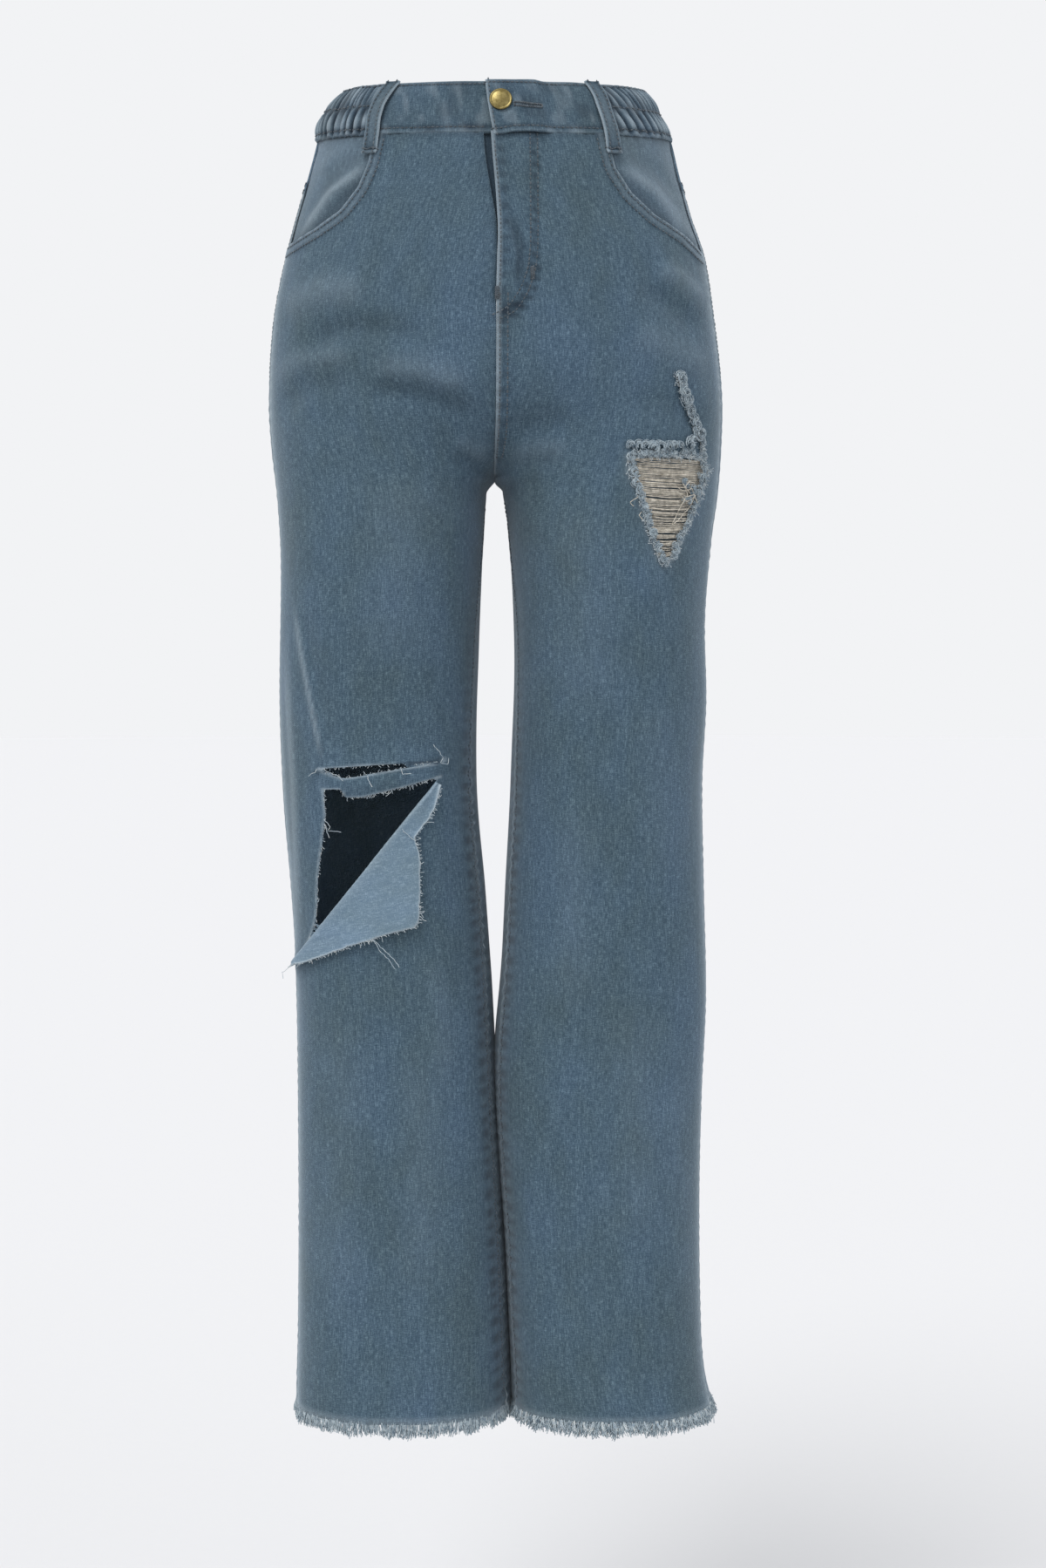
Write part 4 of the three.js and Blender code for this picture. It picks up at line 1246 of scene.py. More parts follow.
def denim_material(name, dark, middle, light, wear_and_highlight_colour, dye_and_shade_colour, depth):
    """Washed cotton twill: indigo warp over pale weft, so it reads as fine mixed blue and grey."""
    material, tree = new_material(name)
    noises = []
    for scale, detail, roughness in (YARNS, SLUBS, GRAIN, WEFT, WASH):
        noises.append(noise_value(tree, cloth_coordinates(tree, scale), detail, roughness))
    yarns, slubs, grain, weft, wash = noises
    tone = weighted(tree, (yarns, 0.42), (grain, 0.18), (slubs, 0.14), (weft, 0.26))
    colour = colour_ramp(tree, tone, [(0.37, dark), (0.5, middle), (0.63, light)])
    hue = number(tree, "SUBTRACT", wash, 0.34)
    hue = number(tree, "MULTIPLY", hue, 3.0, clamp=True)
    tint = colour_ramp(tree, hue, [(0.0, "#d6dcda"), (0.5, "#dfe8ef"), (1.0, "#e6f0ff")])
    colour = blend(tree, colour, tint, 0.9, "MULTIPLY")
    # The two masks mix in dark dye with painted shade, then pale wear with painted highlight.
    dye_and_shade = number(tree, "MULTIPLY", attribute_value(tree, "dye_and_shade"), 0.75, clamp=True)
    colour = blend(tree, colour, linear(dye_and_shade_colour), dye_and_shade)
    uneven = number(tree, "ADD", grain, 0.45)
    wear_and_highlight = number(tree, "MULTIPLY", attribute_value(tree, "wear_and_highlight"), uneven, clamp=True)
    colour = blend(tree, colour, linear(wear_and_highlight_colour), wear_and_highlight)
    twill = add_node(
        tree, "ShaderNodeTexWave", {"bands_direction": "X"},
        Vector=cloth_coordinates(tree, turn=58.0), Scale=0.22, Distortion=0.6, Detail=1.0,
    )
    height = number(tree, "MULTIPLY", twill.outputs["Fac"], 0.35)
    height = number(tree, "ADD", height, grain)
    height = number(tree, "ADD", height, number(tree, "MULTIPLY", yarns, 0.6))
    end_material(
        tree, Base_Color=colour, Normal=bumped(tree, height, depth, 0.0004),
        Roughness=number(tree, "ADD", number(tree, "MULTIPLY", grain, 0.12), 0.82),
        Specular_IOR_Level=0.2, Sheen_Weight=0.35, Sheen_Roughness=0.45,
        Sheen_Tint=linear("#c9d6e0"),
    )
    return material


def yarn_material(name, pale, dark, spread):
    """Loose cotton yarn: matt and hairy, some ends still blue and some bleached to cream."""
    material, tree = new_material(name)
    place = object_place(tree)
    patches = noise_value(tree, place, 2.0, 0.6, spread)
    fine = noise_value(tree, place, 2.0, 0.7, 1900)
    tone = weighted(tree, (patches, 0.6), (fine, 0.4))
    end_material(
        tree, Base_Color=colour_ramp(tree, tone, [(0.36, dark), (0.62, pale)]), Roughness=0.95,
        Normal=bumped(tree, fine, 0.5, 0.0002), Specular_IOR_Level=0.15, Sheen_Weight=0.3,
    )
    return material


def brass_material(name, colour_hex):
    """Antique brass, pressed and tumbled: warm, with fine scuffs and darker tarnish in patches."""
    material, tree = new_material(name)
    place = object_place(tree)
    tarnish = noise_value(tree, place, 3.0, 0.6, 260)
    scuffs = noise_value(tree, place, 4.0, 0.7, 2600)
    end_material(
        tree, Base_Color=colour_ramp(tree, tarnish, [(0.3, "#5d5230"), (0.6, colour_hex)]),
        Roughness=number(tree, "ADD", number(tree, "MULTIPLY", scuffs, 0.3), 0.2),
        Normal=bumped(tree, scuffs, 0.08, 0.0001), Metallic=1.0,
    )
    return material


def floor_material(name, colour_hex):
    """Matt studio paper with a trace of tooth."""
    material, tree = new_material(name)
    tooth = noise_value(tree, object_place(tree), 2.0, 0.5, 90)
    pale = linear(colour_hex)
    colour = blend(tree, pale, tuple(0.985 * c for c in pale[:3]) + (1,), tooth)
    end_material(tree, Base_Color=colour, Roughness=0.9, Specular_IOR_Level=0.1)
    return material


@functools.lru_cache(None)
def finishes():
    """Every material of the garment, made once from the colours in the panel."""
    colours = bpy.context.scene.jeans_colours
    return {
        "denim": denim_material(
            "washed denim", colours.denim_dark, colours.denim_middle, colours.denim_light,
            colours.denim_wear_and_highlight, colours.denim_dye_and_shade, 0.55,
        ),
        "denim_reverse": denim_material(
            "denim wrong side", "#66798a", colours.denim_reverse, "#9aaab6", "#c3ccd0", "#4a5b6a", 0.5,
        ),
        "fray": yarn_material("frayed cotton yarn", colours.fray_pale, colours.fray_blue, 240),
        "tuft": yarn_material("half bleached torn yarn", "#aab6bb", "#566a79", 340),
        "weft": yarn_material("ecru weft yarn", colours.weft, "#8f887a", 300),
        "stitch": yarn_material("tonal sewing thread", "#59626a", colours.stitch, 420),
        "brass": brass_material("antique brass", colours.brass),
    }


# ---------------- geometry node trees


SOCKET_KINDS = {float: "NodeSocketFloat", int: "NodeSocketInt"}


def new_tree(name, **inputs):
    """A tree that takes geometry, the given values and a material."""
    tree = bpy.data.node_groups.new(name, "GeometryNodeTree")
    sockets = tree.interface
    sockets.new_socket("Geometry", in_out="INPUT", socket_type="NodeSocketGeometry")
    for label, value in inputs.items():
        socket = sockets.new_socket(label, in_out="INPUT", socket_type=SOCKET_KINDS[type(value)])
        socket.default_value = value
    sockets.new_socket("Material", in_out="INPUT", socket_type="NodeSocketMaterial")
    sockets.new_socket("Geometry", in_out="OUTPUT", socket_type="NodeSocketGeometry")
    return tree, tree.nodes.new("NodeGroupInput").outputs


def end_tree(tree, geometry, given):
    """The tail of every tree: real geometry, with its material."""
    real = add_node(tree, "GeometryNodeRealizeInstances", Geometry=geometry)
    coloured = add_node(
        tree, "GeometryNodeSetMaterial", Geometry=real.outputs["Geometry"],
        Material=given["Material"],
    )
    add_node(tree, "NodeGroupOutput", Geometry=coloured.outputs["Geometry"])
    return tree


def vector_sum(tree, operation, **inputs):
    node = add_node(tree, "ShaderNodeVectorMath", {"operation": operation}, **inputs)
    return node.outputs["Vector"]


def named_value(tree, name, kind):
    node = add_node(tree, "GeometryNodeInputNamedAttribute", {"data_type": kind}, Name=name)
    return node.outputs["Attribute"]


def spaced_out(tree, given, step):
    """The given curves with a point at every step."""
    node = add_node(
        tree, "GeometryNodeResampleCurve", {"mode": "LENGTH"}, Curve=given["Geometry"], Length=step
    )
    return node.outputs["Curve"]


def placed_along(tree, points, instance, direction, scale):
    """Copies of an instance on points, with their Z axes turned to a direction."""
    turned = add_node(tree, "FunctionNodeAlignRotationToVector", {"axis": "Z"}, Vector=direction)
    node = add_node(
        tree, "GeometryNodeInstanceOnPoints", Points=points, Instance=instance,
        Rotation=turned.outputs["Rotation"], Scale=scale,
    )
    return node.outputs["Instances"]


def wandered(tree, curves, place, scale, detail, amount):
    """Moves curves to and fro by an amount, by noise read at a place."""
    texture = add_node(tree, "ShaderNodeTexNoise", Vector=place, Scale=scale, Detail=detail)
    centred = vector_sum(tree, "SUBTRACT", _0=texture.outputs["Color"], _1=(0.5, 0.5, 0.5))
    push = vector_sum(tree, "SCALE", Vector=centred, Scale=amount)
    moved = add_node(tree, "GeometryNodeSetPosition", Geometry=curves, Offset=push)
    return moved.outputs["Geometry"]


def yarn_body(tree, curves, given):
    """Gives curves the thickness of a yarn."""
    ring = add_node(
        tree, "GeometryNodeCurvePrimitiveCircle", Resolution=given["Sides"],
        Radius=number(tree, "MULTIPLY", given["Thickness"], 0.5),
    )
    body = add_node(
        tree, "GeometryNodeCurveToMesh", Curve=curves, _1=ring.outputs["Curve"], Fill_Caps=True
    )
    return body.outputs["Mesh"]


@functools.lru_cache(None)
def stitch_tree():
    """Short fat stitches laid end to end along curves."""
    tree, given = new_tree(
        "stitches along a seam", Pitch=0.0034, Length=0.0026, Thickness=0.0007, Seed=3
    )
    bead = add_node(tree, "GeometryNodeMeshUVSphere", Segments=6, Rings=4, Radius=0.5)
    size = add_node(
        tree, "ShaderNodeCombineXYZ", X=given["Thickness"], Y=given["Thickness"], Z=given["Length"]
    )
    vary = add_node(
        tree, "FunctionNodeRandomValue", {"data_type": "FLOAT"}, _2=0.85, _3=1.12,
        Seed=given["Seed"],
    )
    tangent = add_node(tree, "GeometryNodeInputTangent")
    stitches = placed_along(
        tree, spaced_out(tree, given, given["Pitch"]), bead.outputs["Mesh"],
        tangent.outputs["Tangent"],
        vector_sum(tree, "SCALE", Vector=size.outputs["Vector"], Scale=vary.outputs[1]),
    )
    return end_tree(tree, stitches, given)


@functools.lru_cache(None)
def fray_tree():
    """Loose threads that stand out of points along "aim", as long as "reach", and curl."""
    tree, given = new_tree(
        "frayed threads", Thickness=0.0004, Curl=0.003, Curl_scale=160.0, Steps=7, Sides=4
    )
    strand = add_node(tree, "GeometryNodeCurvePrimitiveLine", Start=(0, 0, 0), End=(0, 0, 1))
    strand = add_node(
        tree, "GeometryNodeResampleCurve", {"mode": "COUNT"}, Curve=strand.outputs["Curve"],
        Count=given["Steps"],
    )
    threads = placed_along(
        tree, given["Geometry"], strand.outputs["Curve"], named_value(tree, "aim", "FLOAT_VECTOR"),
        named_value(tree, "reach", "FLOAT"),
    )
    threads = add_node(tree, "GeometryNodeRealizeInstances", Geometry=threads)
    along = add_node(tree, "GeometryNodeSplineParameter").outputs["Factor"]
    place = add_node(tree, "GeometryNodeInputPosition").outputs["Position"]
    place = vector_sum(tree, "SCALE", Vector=place, Scale=given["Curl_scale"])
    place = vector_sum(tree, "ADD", _0=place, _1=named_value(tree, "phase", "FLOAT_VECTOR"))
    bend = number(tree, "MULTIPLY", along, given["Curl"])
    curled = wandered(tree, threads.outputs["Geometry"], place, 1.0, 1.0, bend)
    return end_tree(tree, yarn_body(tree, curled, given), given)


@functools.lru_cache(None)
def yarn_tree():
    """Single yarns along given curves, with a slight wander."""
    tree, given = new_tree(
        "yarn along a curve", Thickness=0.0005, Wander=0.0008, Step=0.003, Sides=5
    )
    place = add_node(tree, "GeometryNodeInputPosition").outputs["Position"]
    spaced = spaced_out(tree, given, given["Step"])
    moved = wandered(tree, spaced, place, 260.0, 2.0, given["Wander"])
    return end_tree(tree, yarn_body(tree, moved, given), given)


def threads_piece(source, name, tree, material, nodes=(), **values):
    """Runs a tree on an object and keeps the plain mesh that it makes, as a piece of thread."""
    values["Material"] = finishes()[material]
    modifier = source.modifiers.new("build", "NODES")
    modifier.node_group = tree
    for item in tree.interface.items_tree:
        if item.in_out == "INPUT" and item.name in values:
            modifier[item.identifier] = values[item.name]
    source.update_tag()
    graph = bpy.context.evaluated_depsgraph_get()
    mesh = bpy.data.meshes.new_from_object(source.evaluated_get(graph))
    mesh.name = name
    bpy.data.objects.remove(source)
    if not len(mesh.polygons):
        raise RuntimeError(f"{name} came out empty")
    mesh.polygons.foreach_set("use_smooth", np.ones(len(mesh.polygons), bool))
    declare(linked_object(name, mesh), "cotton_thread", *nodes)


def linked_object(name, data):
    made = bpy.data.objects.new(name, data)
    bpy.context.collection.objects.link(made)
    return made


def curves_object(name, lines):
    """Poly curves through lists of points in millimetres."""
    data = bpy.data.curves.new(name, "CURVE")
    data.dimensions = "3D"
    for line in lines:
        points = to_frame(line)
        spline = data.splines.new("POLY")
        spline.points.add(len(points) - 1)
        spline.points.foreach_set("co", np.c_[points, np.ones(len(points))].ravel())
    return linked_object(name + "_path", data)


def roots_object(name, roots, aims, reaches, seed):
    """Loose points that threads grow from, with their direction, reach and phase."""
    mesh = bpy.data.meshes.new(name + "_roots")
    mesh.from_pydata(to_frame(roots).tolist(), [], [])
    random = np.random.RandomState(seed)
    vectors = {"aim": np.asarray(aims, float), "phase": random.uniform(0, 40, (len(roots), 3))}
    for label, values in vectors.items():
        attribute = mesh.attributes.new(label, "FLOAT_VECTOR", "POINT")
        attribute.data.foreach_set("vector", values.astype(np.float32).ravel())
    attribute = mesh.attributes.new("reach", "FLOAT", "POINT")
    attribute.data.foreach_set("value", (np.asarray(reaches) * MM).astype(np.float32))
    return linked_object(name + "_roots", mesh)


def fray_piece(name, roots, aims, reaches, material, nodes=(), **values):
    """Threads that stand out of points, given as lists of arrays."""
    seed = bpy.context.scene.jeans_sizes.seed + len(name)
    parts = [np.concatenate(arrays) for arrays in (roots, aims, reaches)]
    threads_piece(
        roots_object(name, *parts, seed), name, fray_tree(), material, nodes, Sides=4, **values
    )


def yarns_piece(name, lines, material, **values):
    """Yarns that follow lines of points."""
    threads_piece(curves_object(name, lines), name, yarn_tree(), material, **values)


# ---------------- the user's sizes and colours


def length_property(name, description, default):
    return FloatProperty(name=name, description=description, default=default, unit="LENGTH")


def hex_property(name, description, default):
    return StringProperty(name=name, description=description, default=default)


class JeansSizes(bpy.types.PropertyGroup):
    """Sizes that change how the cloth, stitches and threads are made."""

    cloth: length_property("Cloth", "Thickness of the denim", 0.0011)
    band: length_property("Waistband", "Thickness of the folded waistband", 0.0022)
    stitch_pitch: length_property("Stitch pitch", "Distance from stitch to stitch", 0.0034)
    stitch_length: length_property("Stitch length", "Length of one stitch on the cloth", 0.0027)
    thread: length_property("Thread", "Thickness of the sewing thread", 0.0011)
    yarn: length_property("Yarn", "Thickness of a loose yarn", 0.00055)
    fringe: length_property("Fringe", "Reach of the hem's fringe", 0.0135)
    seed: IntProperty(name="Seed", description="Seed of the loose threads", default=12)


class JeansColours(bpy.types.PropertyGroup):
    """sRGB hex colours of the finishes."""

    denim_dark: hex_property("Denim dark", "Indigo warp in the hollows", "#2e414e")
    denim_middle: hex_property("Denim", "The denim's own colour", "#485a66")
    denim_light: hex_property("Denim light", "Pale weft between the warp", "#73868f")
    # Also the colour of painted highlights on fold crests and gathers.
    denim_wear_and_highlight: hex_property("Worn edges", "Edges rubbed pale", "#aab7bf")
    # Also the colour of painted shade in troughs, gaps and under edges.
    denim_dye_and_shade: hex_property("Seam shade", "Cloth left dark beside the seams", "#222e39")
    denim_reverse: hex_property("Wrong side", "The inside of the denim", "#71838f")
    fray_pale: hex_property("Fray", "Bleached ends of the frayed yarn", "#ccd0ce")
    fray_blue: hex_property("Blue fray", "Frayed yarn still blue", "#7e93a3")
    weft: hex_property("Weft", "Ecru threads across the rip", "#dcd5c7")
    stitch: hex_property("Stitching", "Sewing thread", "#2c3236")
    brass: hex_property("Button", "Antique brass", "#85784f")
    paper: hex_property("Floor", "Studio paper", "#d5d5d6")
    backdrop: hex_property("Backdrop", "Even light all around", "#f2f3f5")


# ---------------- operators


class JEANS_OT_fronts(bpy.types.Operator):
    """Builds the two front panels, with their pocket mouths and rips cut away"""

    bl_idname = "jeans.fronts"
    bl_label = "Front Panels"

    def execute(self, context):
        wall = context.scene.jeans_sizes.cloth / MM
        for side, word in SIDE_NAMES.items():
            sew_piece(f"{word}_front", f"front_{word}", front_cloth(side), wall, side * 0.4)
        return {"FINISHED"}


class JEANS_OT_backs(bpy.types.Operator):
    """Builds the two back panels and the yokes above them"""

    bl_idname = "jeans.backs"
    bl_label = "Back Panels"

    def execute(self, context):
        wall = context.scene.jeans_sizes.cloth / MM
        for side, word in SIDE_NAMES.items():
            sew_piece(f"{word}_back", f"back_{word}", back_cloth(side), wall, side * 0.7)
            sew_piece(f"{word}_yoke", f"yoke_{word}", yoke_cloth(side), wall, side * 0.9)
        return {"FINISHED"}


class JEANS_OT_pockets(bpy.types.Operator):
    """Builds the denim seen inside the curved front pockets, and the fly shield"""

    bl_idname = "jeans.pockets"
    bl_label = "Pocket Facings"

    def execute(self, context):
        wall = context.scene.jeans_sizes.cloth / MM
        for side, word in SIDE_NAMES.items():
            node = f"pocket_facing_{word}"
            sew_piece(f"{word}_pocket", node, pocket_cloth(side), wall, side * 1.3)
        sew_piece("shield_of_fly", "fly_shield", shield_cloth(), wall, 2.0)
        return {"FINISHED"}


class JEANS_OT_waistband(bpy.types.Operator):
    """Builds the waistband, flat in front and gathered on elastic at the sides"""

    bl_idname = "jeans.waistband"
    bl_label = "Waistband"

    def execute(self, context):
        wall = context.scene.jeans_sizes.band / MM
        for name, (cloth, node) in waistband().items():
            sew_piece(name, node, cloth, wall, 0.2, ("denim", "denim"))
        return {"FINISHED"}


class JEANS_OT_loops(bpy.types.Operator):
    """Builds the five belt loops"""

    bl_idname = "jeans.loops"
    bl_label = "Belt Loops"

    def execute(self, context):
        wall = context.scene.jeans_sizes.cloth / MM * 1.2
        for index, (name, node, low, high) in enumerate(BELT_LOOPS):
            sew_piece(name, node, loop_cloth(low, high), wall, 3 + index, ("denim", "denim"))
        return {"FINISHED"}


class JEANS_OT_flap(bpy.types.Operator):
    """Builds the torn flap that hangs over the right shin with its wrong side out"""

    bl_idname = "jeans.flap"
    bl_label = "Knee Flap"

    def execute(self, context):
        wall = context.scene.jeans_sizes.cloth / MM
        sides = ("denim_reverse", "denim")
        sew_piece("flap_of_knee", "knee_flap", flap_cloth(), wall, 5.0, sides)
        return {"FINISHED"}


def front_stitch_rows():
    rows = []
    for side in (RIGHT, LEFT):
        cloth = front_cloth(side)
        for distance in MOUTH_ROWS:
            rows.append(offset_on_cloth(cloth, POCKET_MOUTHS[side], distance, side))
        rows.append(cloth.seam_line(7.5, 8, CROTCH - 18, from_start=False))
    centre = front_cloth(LEFT)
    for distance in FLY_ROWS:
        rows.append(centre.seam_line(distance, CROTCH + 12, FLY_BOTTOM - 8, from_start=False))
    for shift in (0, 5.4):
        curve = [[x - shift, h + shift * 0.55 * (h < 862)] for x, h in FLY_CURVE]
        rows.append(centre.place(*smooth_line(curve, 3.0).T, 0.2))
    rows.append(centre.seam_line(2.2, FLY_BOTTOM, 962, from_start=False))
    return rows


def offset_on_cloth(cloth, points, distance, side):
    """A line beside the pocket mouth, on the panel's own side of it."""
    line = smooth_line(points, 3.0)
    direction = unit(np.gradient(line, axis=0))
    beside = np.stack([direction[:, 1], -direction[:, 0]], axis=1) * side
    moved = line + beside * distance
    limit = np.abs(moved[:, 0]) < outer_of[side](moved[:, 1]) - 2.5
    moved = moved[limit & (moved[:, 1] < 963)]
    return cloth.place(*moved.T, 0.25)


def back_stitch_rows():
    rows = []
    for side in (RIGHT, LEFT):
        for distance in SEAM_ROWS:
            rows.append(back_cloth(side).seam_line(distance, HIP_STITCH_END, 925, lift=-0.15))
        for distance in YOKE_SEAM_ROWS:
            rows.append(yoke_cloth(side).row_line(distance))
    for distance in SEAM_ROWS:
        rows.append(back_cloth(LEFT).seam_line(distance, CROTCH + 20, 930, from_start=False))
        rows.append(yoke_cloth(LEFT).seam_line(distance, 900, 990, from_start=False))
    return rows


def band_stitch_rows():
    rows = []
    for name, (cloth, _) in waistband().items():
        covered = 0.0
        if name == "waistband_right_front":
            covered = (UNDERLAP_REACH + FLY_LAP) / cloth.across[0, -1]
        rows.append(cloth.row_line(BAND_LOW_ROW, first=covered))
        rows.append(cloth.row_line(BAND_HIGH_ROW, from_start=False, first=covered))
        if "elastic" in name:
            rows.append(cloth.row_line(cloth.along[-1].mean() * ELASTIC_MIDDLE))
    lapped = waistband()["waistband_left_front"][0]
    rows.append(lapped.seam_line(2.4, 960, 1010, from_start=False))
    for _, _, low, high in BELT_LOOPS:
        cloth = loop_cloth(low, high)
        for from_start in (True, False):
            rows.append(cloth.seam_line(2.6, 0, 1100, from_start))
        rows.append(zigzag(even_line(cloth.row_line(3.2), 0.9), [0, 0, 0.6]))
    return rows


# The buttonhole's outline and the middles of the fly's two bartacks, as [x, height].
BUTTONHOLE = [[15.5, 986.6], [36, 985.4], [36, 983.4], [15.5, 984.0], [15.5, 986.6]]
BARTACKS = [[3.0, 843], [29.0, 858]]


class JEANS_OT_stitching(bpy.types.Operator):
    """Sews the seams, pocket mouths, fly and waistband with rows of stitches"""

    bl_idname = "jeans.stitching"
    bl_label = "Stitching"

    def execute(self, context):
        sizes = context.scene.jeans_sizes
        groups = {
            "stitches_of_fronts": front_stitch_rows(),
            "stitches_of_backs": back_stitch_rows(),
            "stitches_of_waistband": band_stitch_rows(),
        }
        for name, rows in groups.items():
            source = curves_object(name, [row for row in rows if len(row) > 2])
            threads_piece(
                source, name, stitch_tree(), "stitch", Pitch=sizes.stitch_pitch,
                Length=sizes.stitch_length, Thickness=sizes.thread, Seed=sizes.seed,
            )
        tacks = []
        for x, z in BARTACKS:
            tall = front_cloth(LEFT).place([x, x], [z - 4.5, z + 4.5], 0.5)
            tacks.append(zigzag(even_line(tall, 0.5), [1.5, 0, 0]))
        slot = even_line(BUTTONHOLE, 0.7)
        band = waistband()["waistband_left_front"][0]
        around = band.place(*slot.T, 0.35)
        tacks.append(zigzag(around, [0, 0, 0.7]))
        yarns_piece(
            "bartacks_and_buttonhole", tacks, "stitch", Thickness=sizes.thread, Wander=0.0,
            Step=0.0009, Sides=4,
        )
        return {"FINISHED"}


# Half of the button's outline: [radius, height above its seat].
BUTTON_OUTLINE = [
    (0.0, 2.55), (2.5, 2.5), (4.8, 2.32), (6.2, 2.05), (6.75, 1.9), (7.1, 1.95), (7.5, 2.25),
    (8.0, 2.2), (8.4, 1.8), (8.5, 1.2), (8.35, 0.7), (7.9, 0.35), (2.2, 0.3), (2.2, -2.4),
    (0.0, -2.4),
]
BUTTON_TURNS = 64


def turned_mesh(name, outline, turns, seat, side, top, out):
    """A solid of revolution on a seat, round its out direction."""
    points = []
    for radius, raised in outline:
        for i in range(turns if radius else 1):
            angle = 2 * np.pi * i / turns
            flat = side * math.cos(angle) + top * math.sin(angle)
            points.append(seat + flat * radius + out * raised)
    faces = [[0, 1 + i, 1 + (i + 1) % turns] for i in range(turns)]
    rings = [1 + k * turns for k in range(len(outline) - 2)]
    for a, b in zip(rings[:-1], rings[1:]):
        faces += [[a + i, b + i, b + (i + 1) % turns, a + (i + 1) % turns] for i in range(turns)]
    last = len(points) - 1
    faces += [[rings[-1] + i, last, rings[-1] + (i + 1) % turns] for i in range(turns)]
    mesh = bpy.data.meshes.new(name)
    mesh.from_pydata(to_frame(points).tolist(), [], faces)
    mesh.polygons.foreach_set("use_smooth", np.ones(len(faces), bool))
    mesh.update()
    return mesh


class JEANS_OT_button(bpy.types.Operator):
    """Turns the domed brass button with its rolled rim"""

    bl_idname = "jeans.button"
    bl_label = "Button"

    def execute(self, context):
        height = BUTTON_HEIGHT
        azimuth = float(azimuth_at(BUTTON_X, height))
        centre = waist_point(azimuth, height)
        low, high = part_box("button")
        middle = (np.array(low) + np.array(high)) / 2
        if np.linalg.norm(np.array(to_frame(centre)) - middle) > 0.02:
            raise RuntimeError("the button isn't where its solid is")
        ahead = waist_point(azimuth + 0.2, height) - waist_point(azimuth - 0.2, height)
        rise = waist_point(azimuth, height + 0.5) - waist_point(azimuth, height - 0.5)
        out = unit(np.cross(rise, ahead))
        side = unit(np.cross([0, 0, 1.0], out))
        outline = [(radius, raised + BAND_LIFT + LAP_LIFT) for radius, raised in BUTTON_OUTLINE]
        top = np.cross(out, side)
        mesh = turned_mesh("brass_button", outline, BUTTON_TURNS, centre, side, top, out)
        mesh.materials.append(finishes()["brass"])
        declare(linked_object("brass_button", mesh), "antique_brass", "button")
        return {"FINISHED"}


# The ropes along the left hem: where the first and last hang, and the yarns in each.
HEM_LOOPS_FROM = 6.0
HEM_LOOPS_END = 10
YARNS_IN_LOOP = 12


def build_hem_loops(sizes):
    """Thicker ropes of yarn that hang in loops from the left hem, longer at its outer side."""
    random = np.random.RandomState(sizes.seed + 3)
    edge = front_cloth(LEFT)
    along = edge.across[0]
    threads = []
    place = HEM_LOOPS_FROM
    while place < along[-1] - HEM_LOOPS_END:
        root = between(place, along, edge.points[0])
        out = between(place, along, edge.normals[0])
        sideways = np.cross([0, 0, 1.0], out) * random.choice([-1, 1], p=[0.25, 0.75])
        drop = random.uniform(6.5, 10.5) * (1.25 if place < 16 else 1)
        wide = random.uniform(3.0, 5.5)
        for _ in range(YARNS_IN_LOOP):
            turn = np.linspace(0, random.uniform(3.4, 5.2), 10)
            size = random.uniform(0.55, 1.0)
            down = -drop * size * np.sin(turn / 2) ** 0.8
            across = wide * size * (1 - np.cos(turn)) / 2
            bulge = 0.2 + 1.6 * np.sin(turn / 2) + random.uniform(-0.5, 0.5)
            start = root + random.uniform(-0.8, 0.8, 3) + [0, 0, 1.2]
            line = start + np.outer(across, sideways) + np.outer(bulge, out)
            line[:, 2] += down
            threads.append(line)
        place += random.uniform(6, 10)
    yarns_piece(
        "left_hem_loops", threads, "fray", Thickness=sizes.yarn * 1.2, Wander=0.0012, Step=0.0018,
        Sides=4,
    )


FRINGE_SPACING = 0.185
# How far each fringe's threads spread from straight down, and how much they curl.
FRINGE_LOOSENESS = {RIGHT: (0.24, 0.005), LEFT: (0.5, 0.009)}


def build_fringe(side, sizes):
    """The frayed edge of one hem."""
    random = np.random.RandomState(sizes.seed + side)
    front, back = front_cloth(side), back_cloth(side)
    edge = np.concatenate([front.points[0], back.points[0][::-1]])
    out = np.concatenate([front.normals[0], back.normals[0][::-1]])
    lengths = run_lengths(edge)
    count = int(lengths[-1] / FRINGE_SPACING)
    places = np.sort(random.uniform(0, lengths[-1], count))
    roots, outward = between(places, lengths, edge), between(places, lengths, out)
    roots = roots - outward * random.uniform(0.2, 0.9, (count, 1))
    roots[:, 2] += random.uniform(0.3, 2.2, count)
    clump = noise(places / 7, 0.5, 91)
    spread, curl = FRINGE_LOOSENESS[side]
    aims = outward * (spread * random.uniform(-0.5, 1.0, (count, 1)))
    aims += np.cross(outward, [0, 0, 1.0]) * spread * (
        random.uniform(-0.8, 0.8, (count, 1)) + 0.7 * clump[:, None]
    )
    aims[:, 2] -= 1.0
    share = 0.74 + 0.2 * clump + random.uniform(-0.24, 0.07, count)
    word = SIDE_NAMES[side]
    fray_piece(
        f"{word}_hem_fray", [roots], [aims], [sizes.fringe / MM * share], "tuft",
        [f"hem_fringe_{word}"], Thickness=sizes.yarn * 1.15, Curl=curl, Curl_scale=160.0, Steps=5,
    )


class JEANS_OT_hems(bpy.types.Operator):
    """Frays the two raw hems"""

    bl_idname = "jeans.hems"
    bl_label = "Frayed Hems"

    def execute(self, context):
        sizes = context.scene.jeans_sizes
        for side in SIDE_NAMES:
            build_fringe(side, sizes)
        build_hem_loops(sizes)
        return {"FINISHED"}


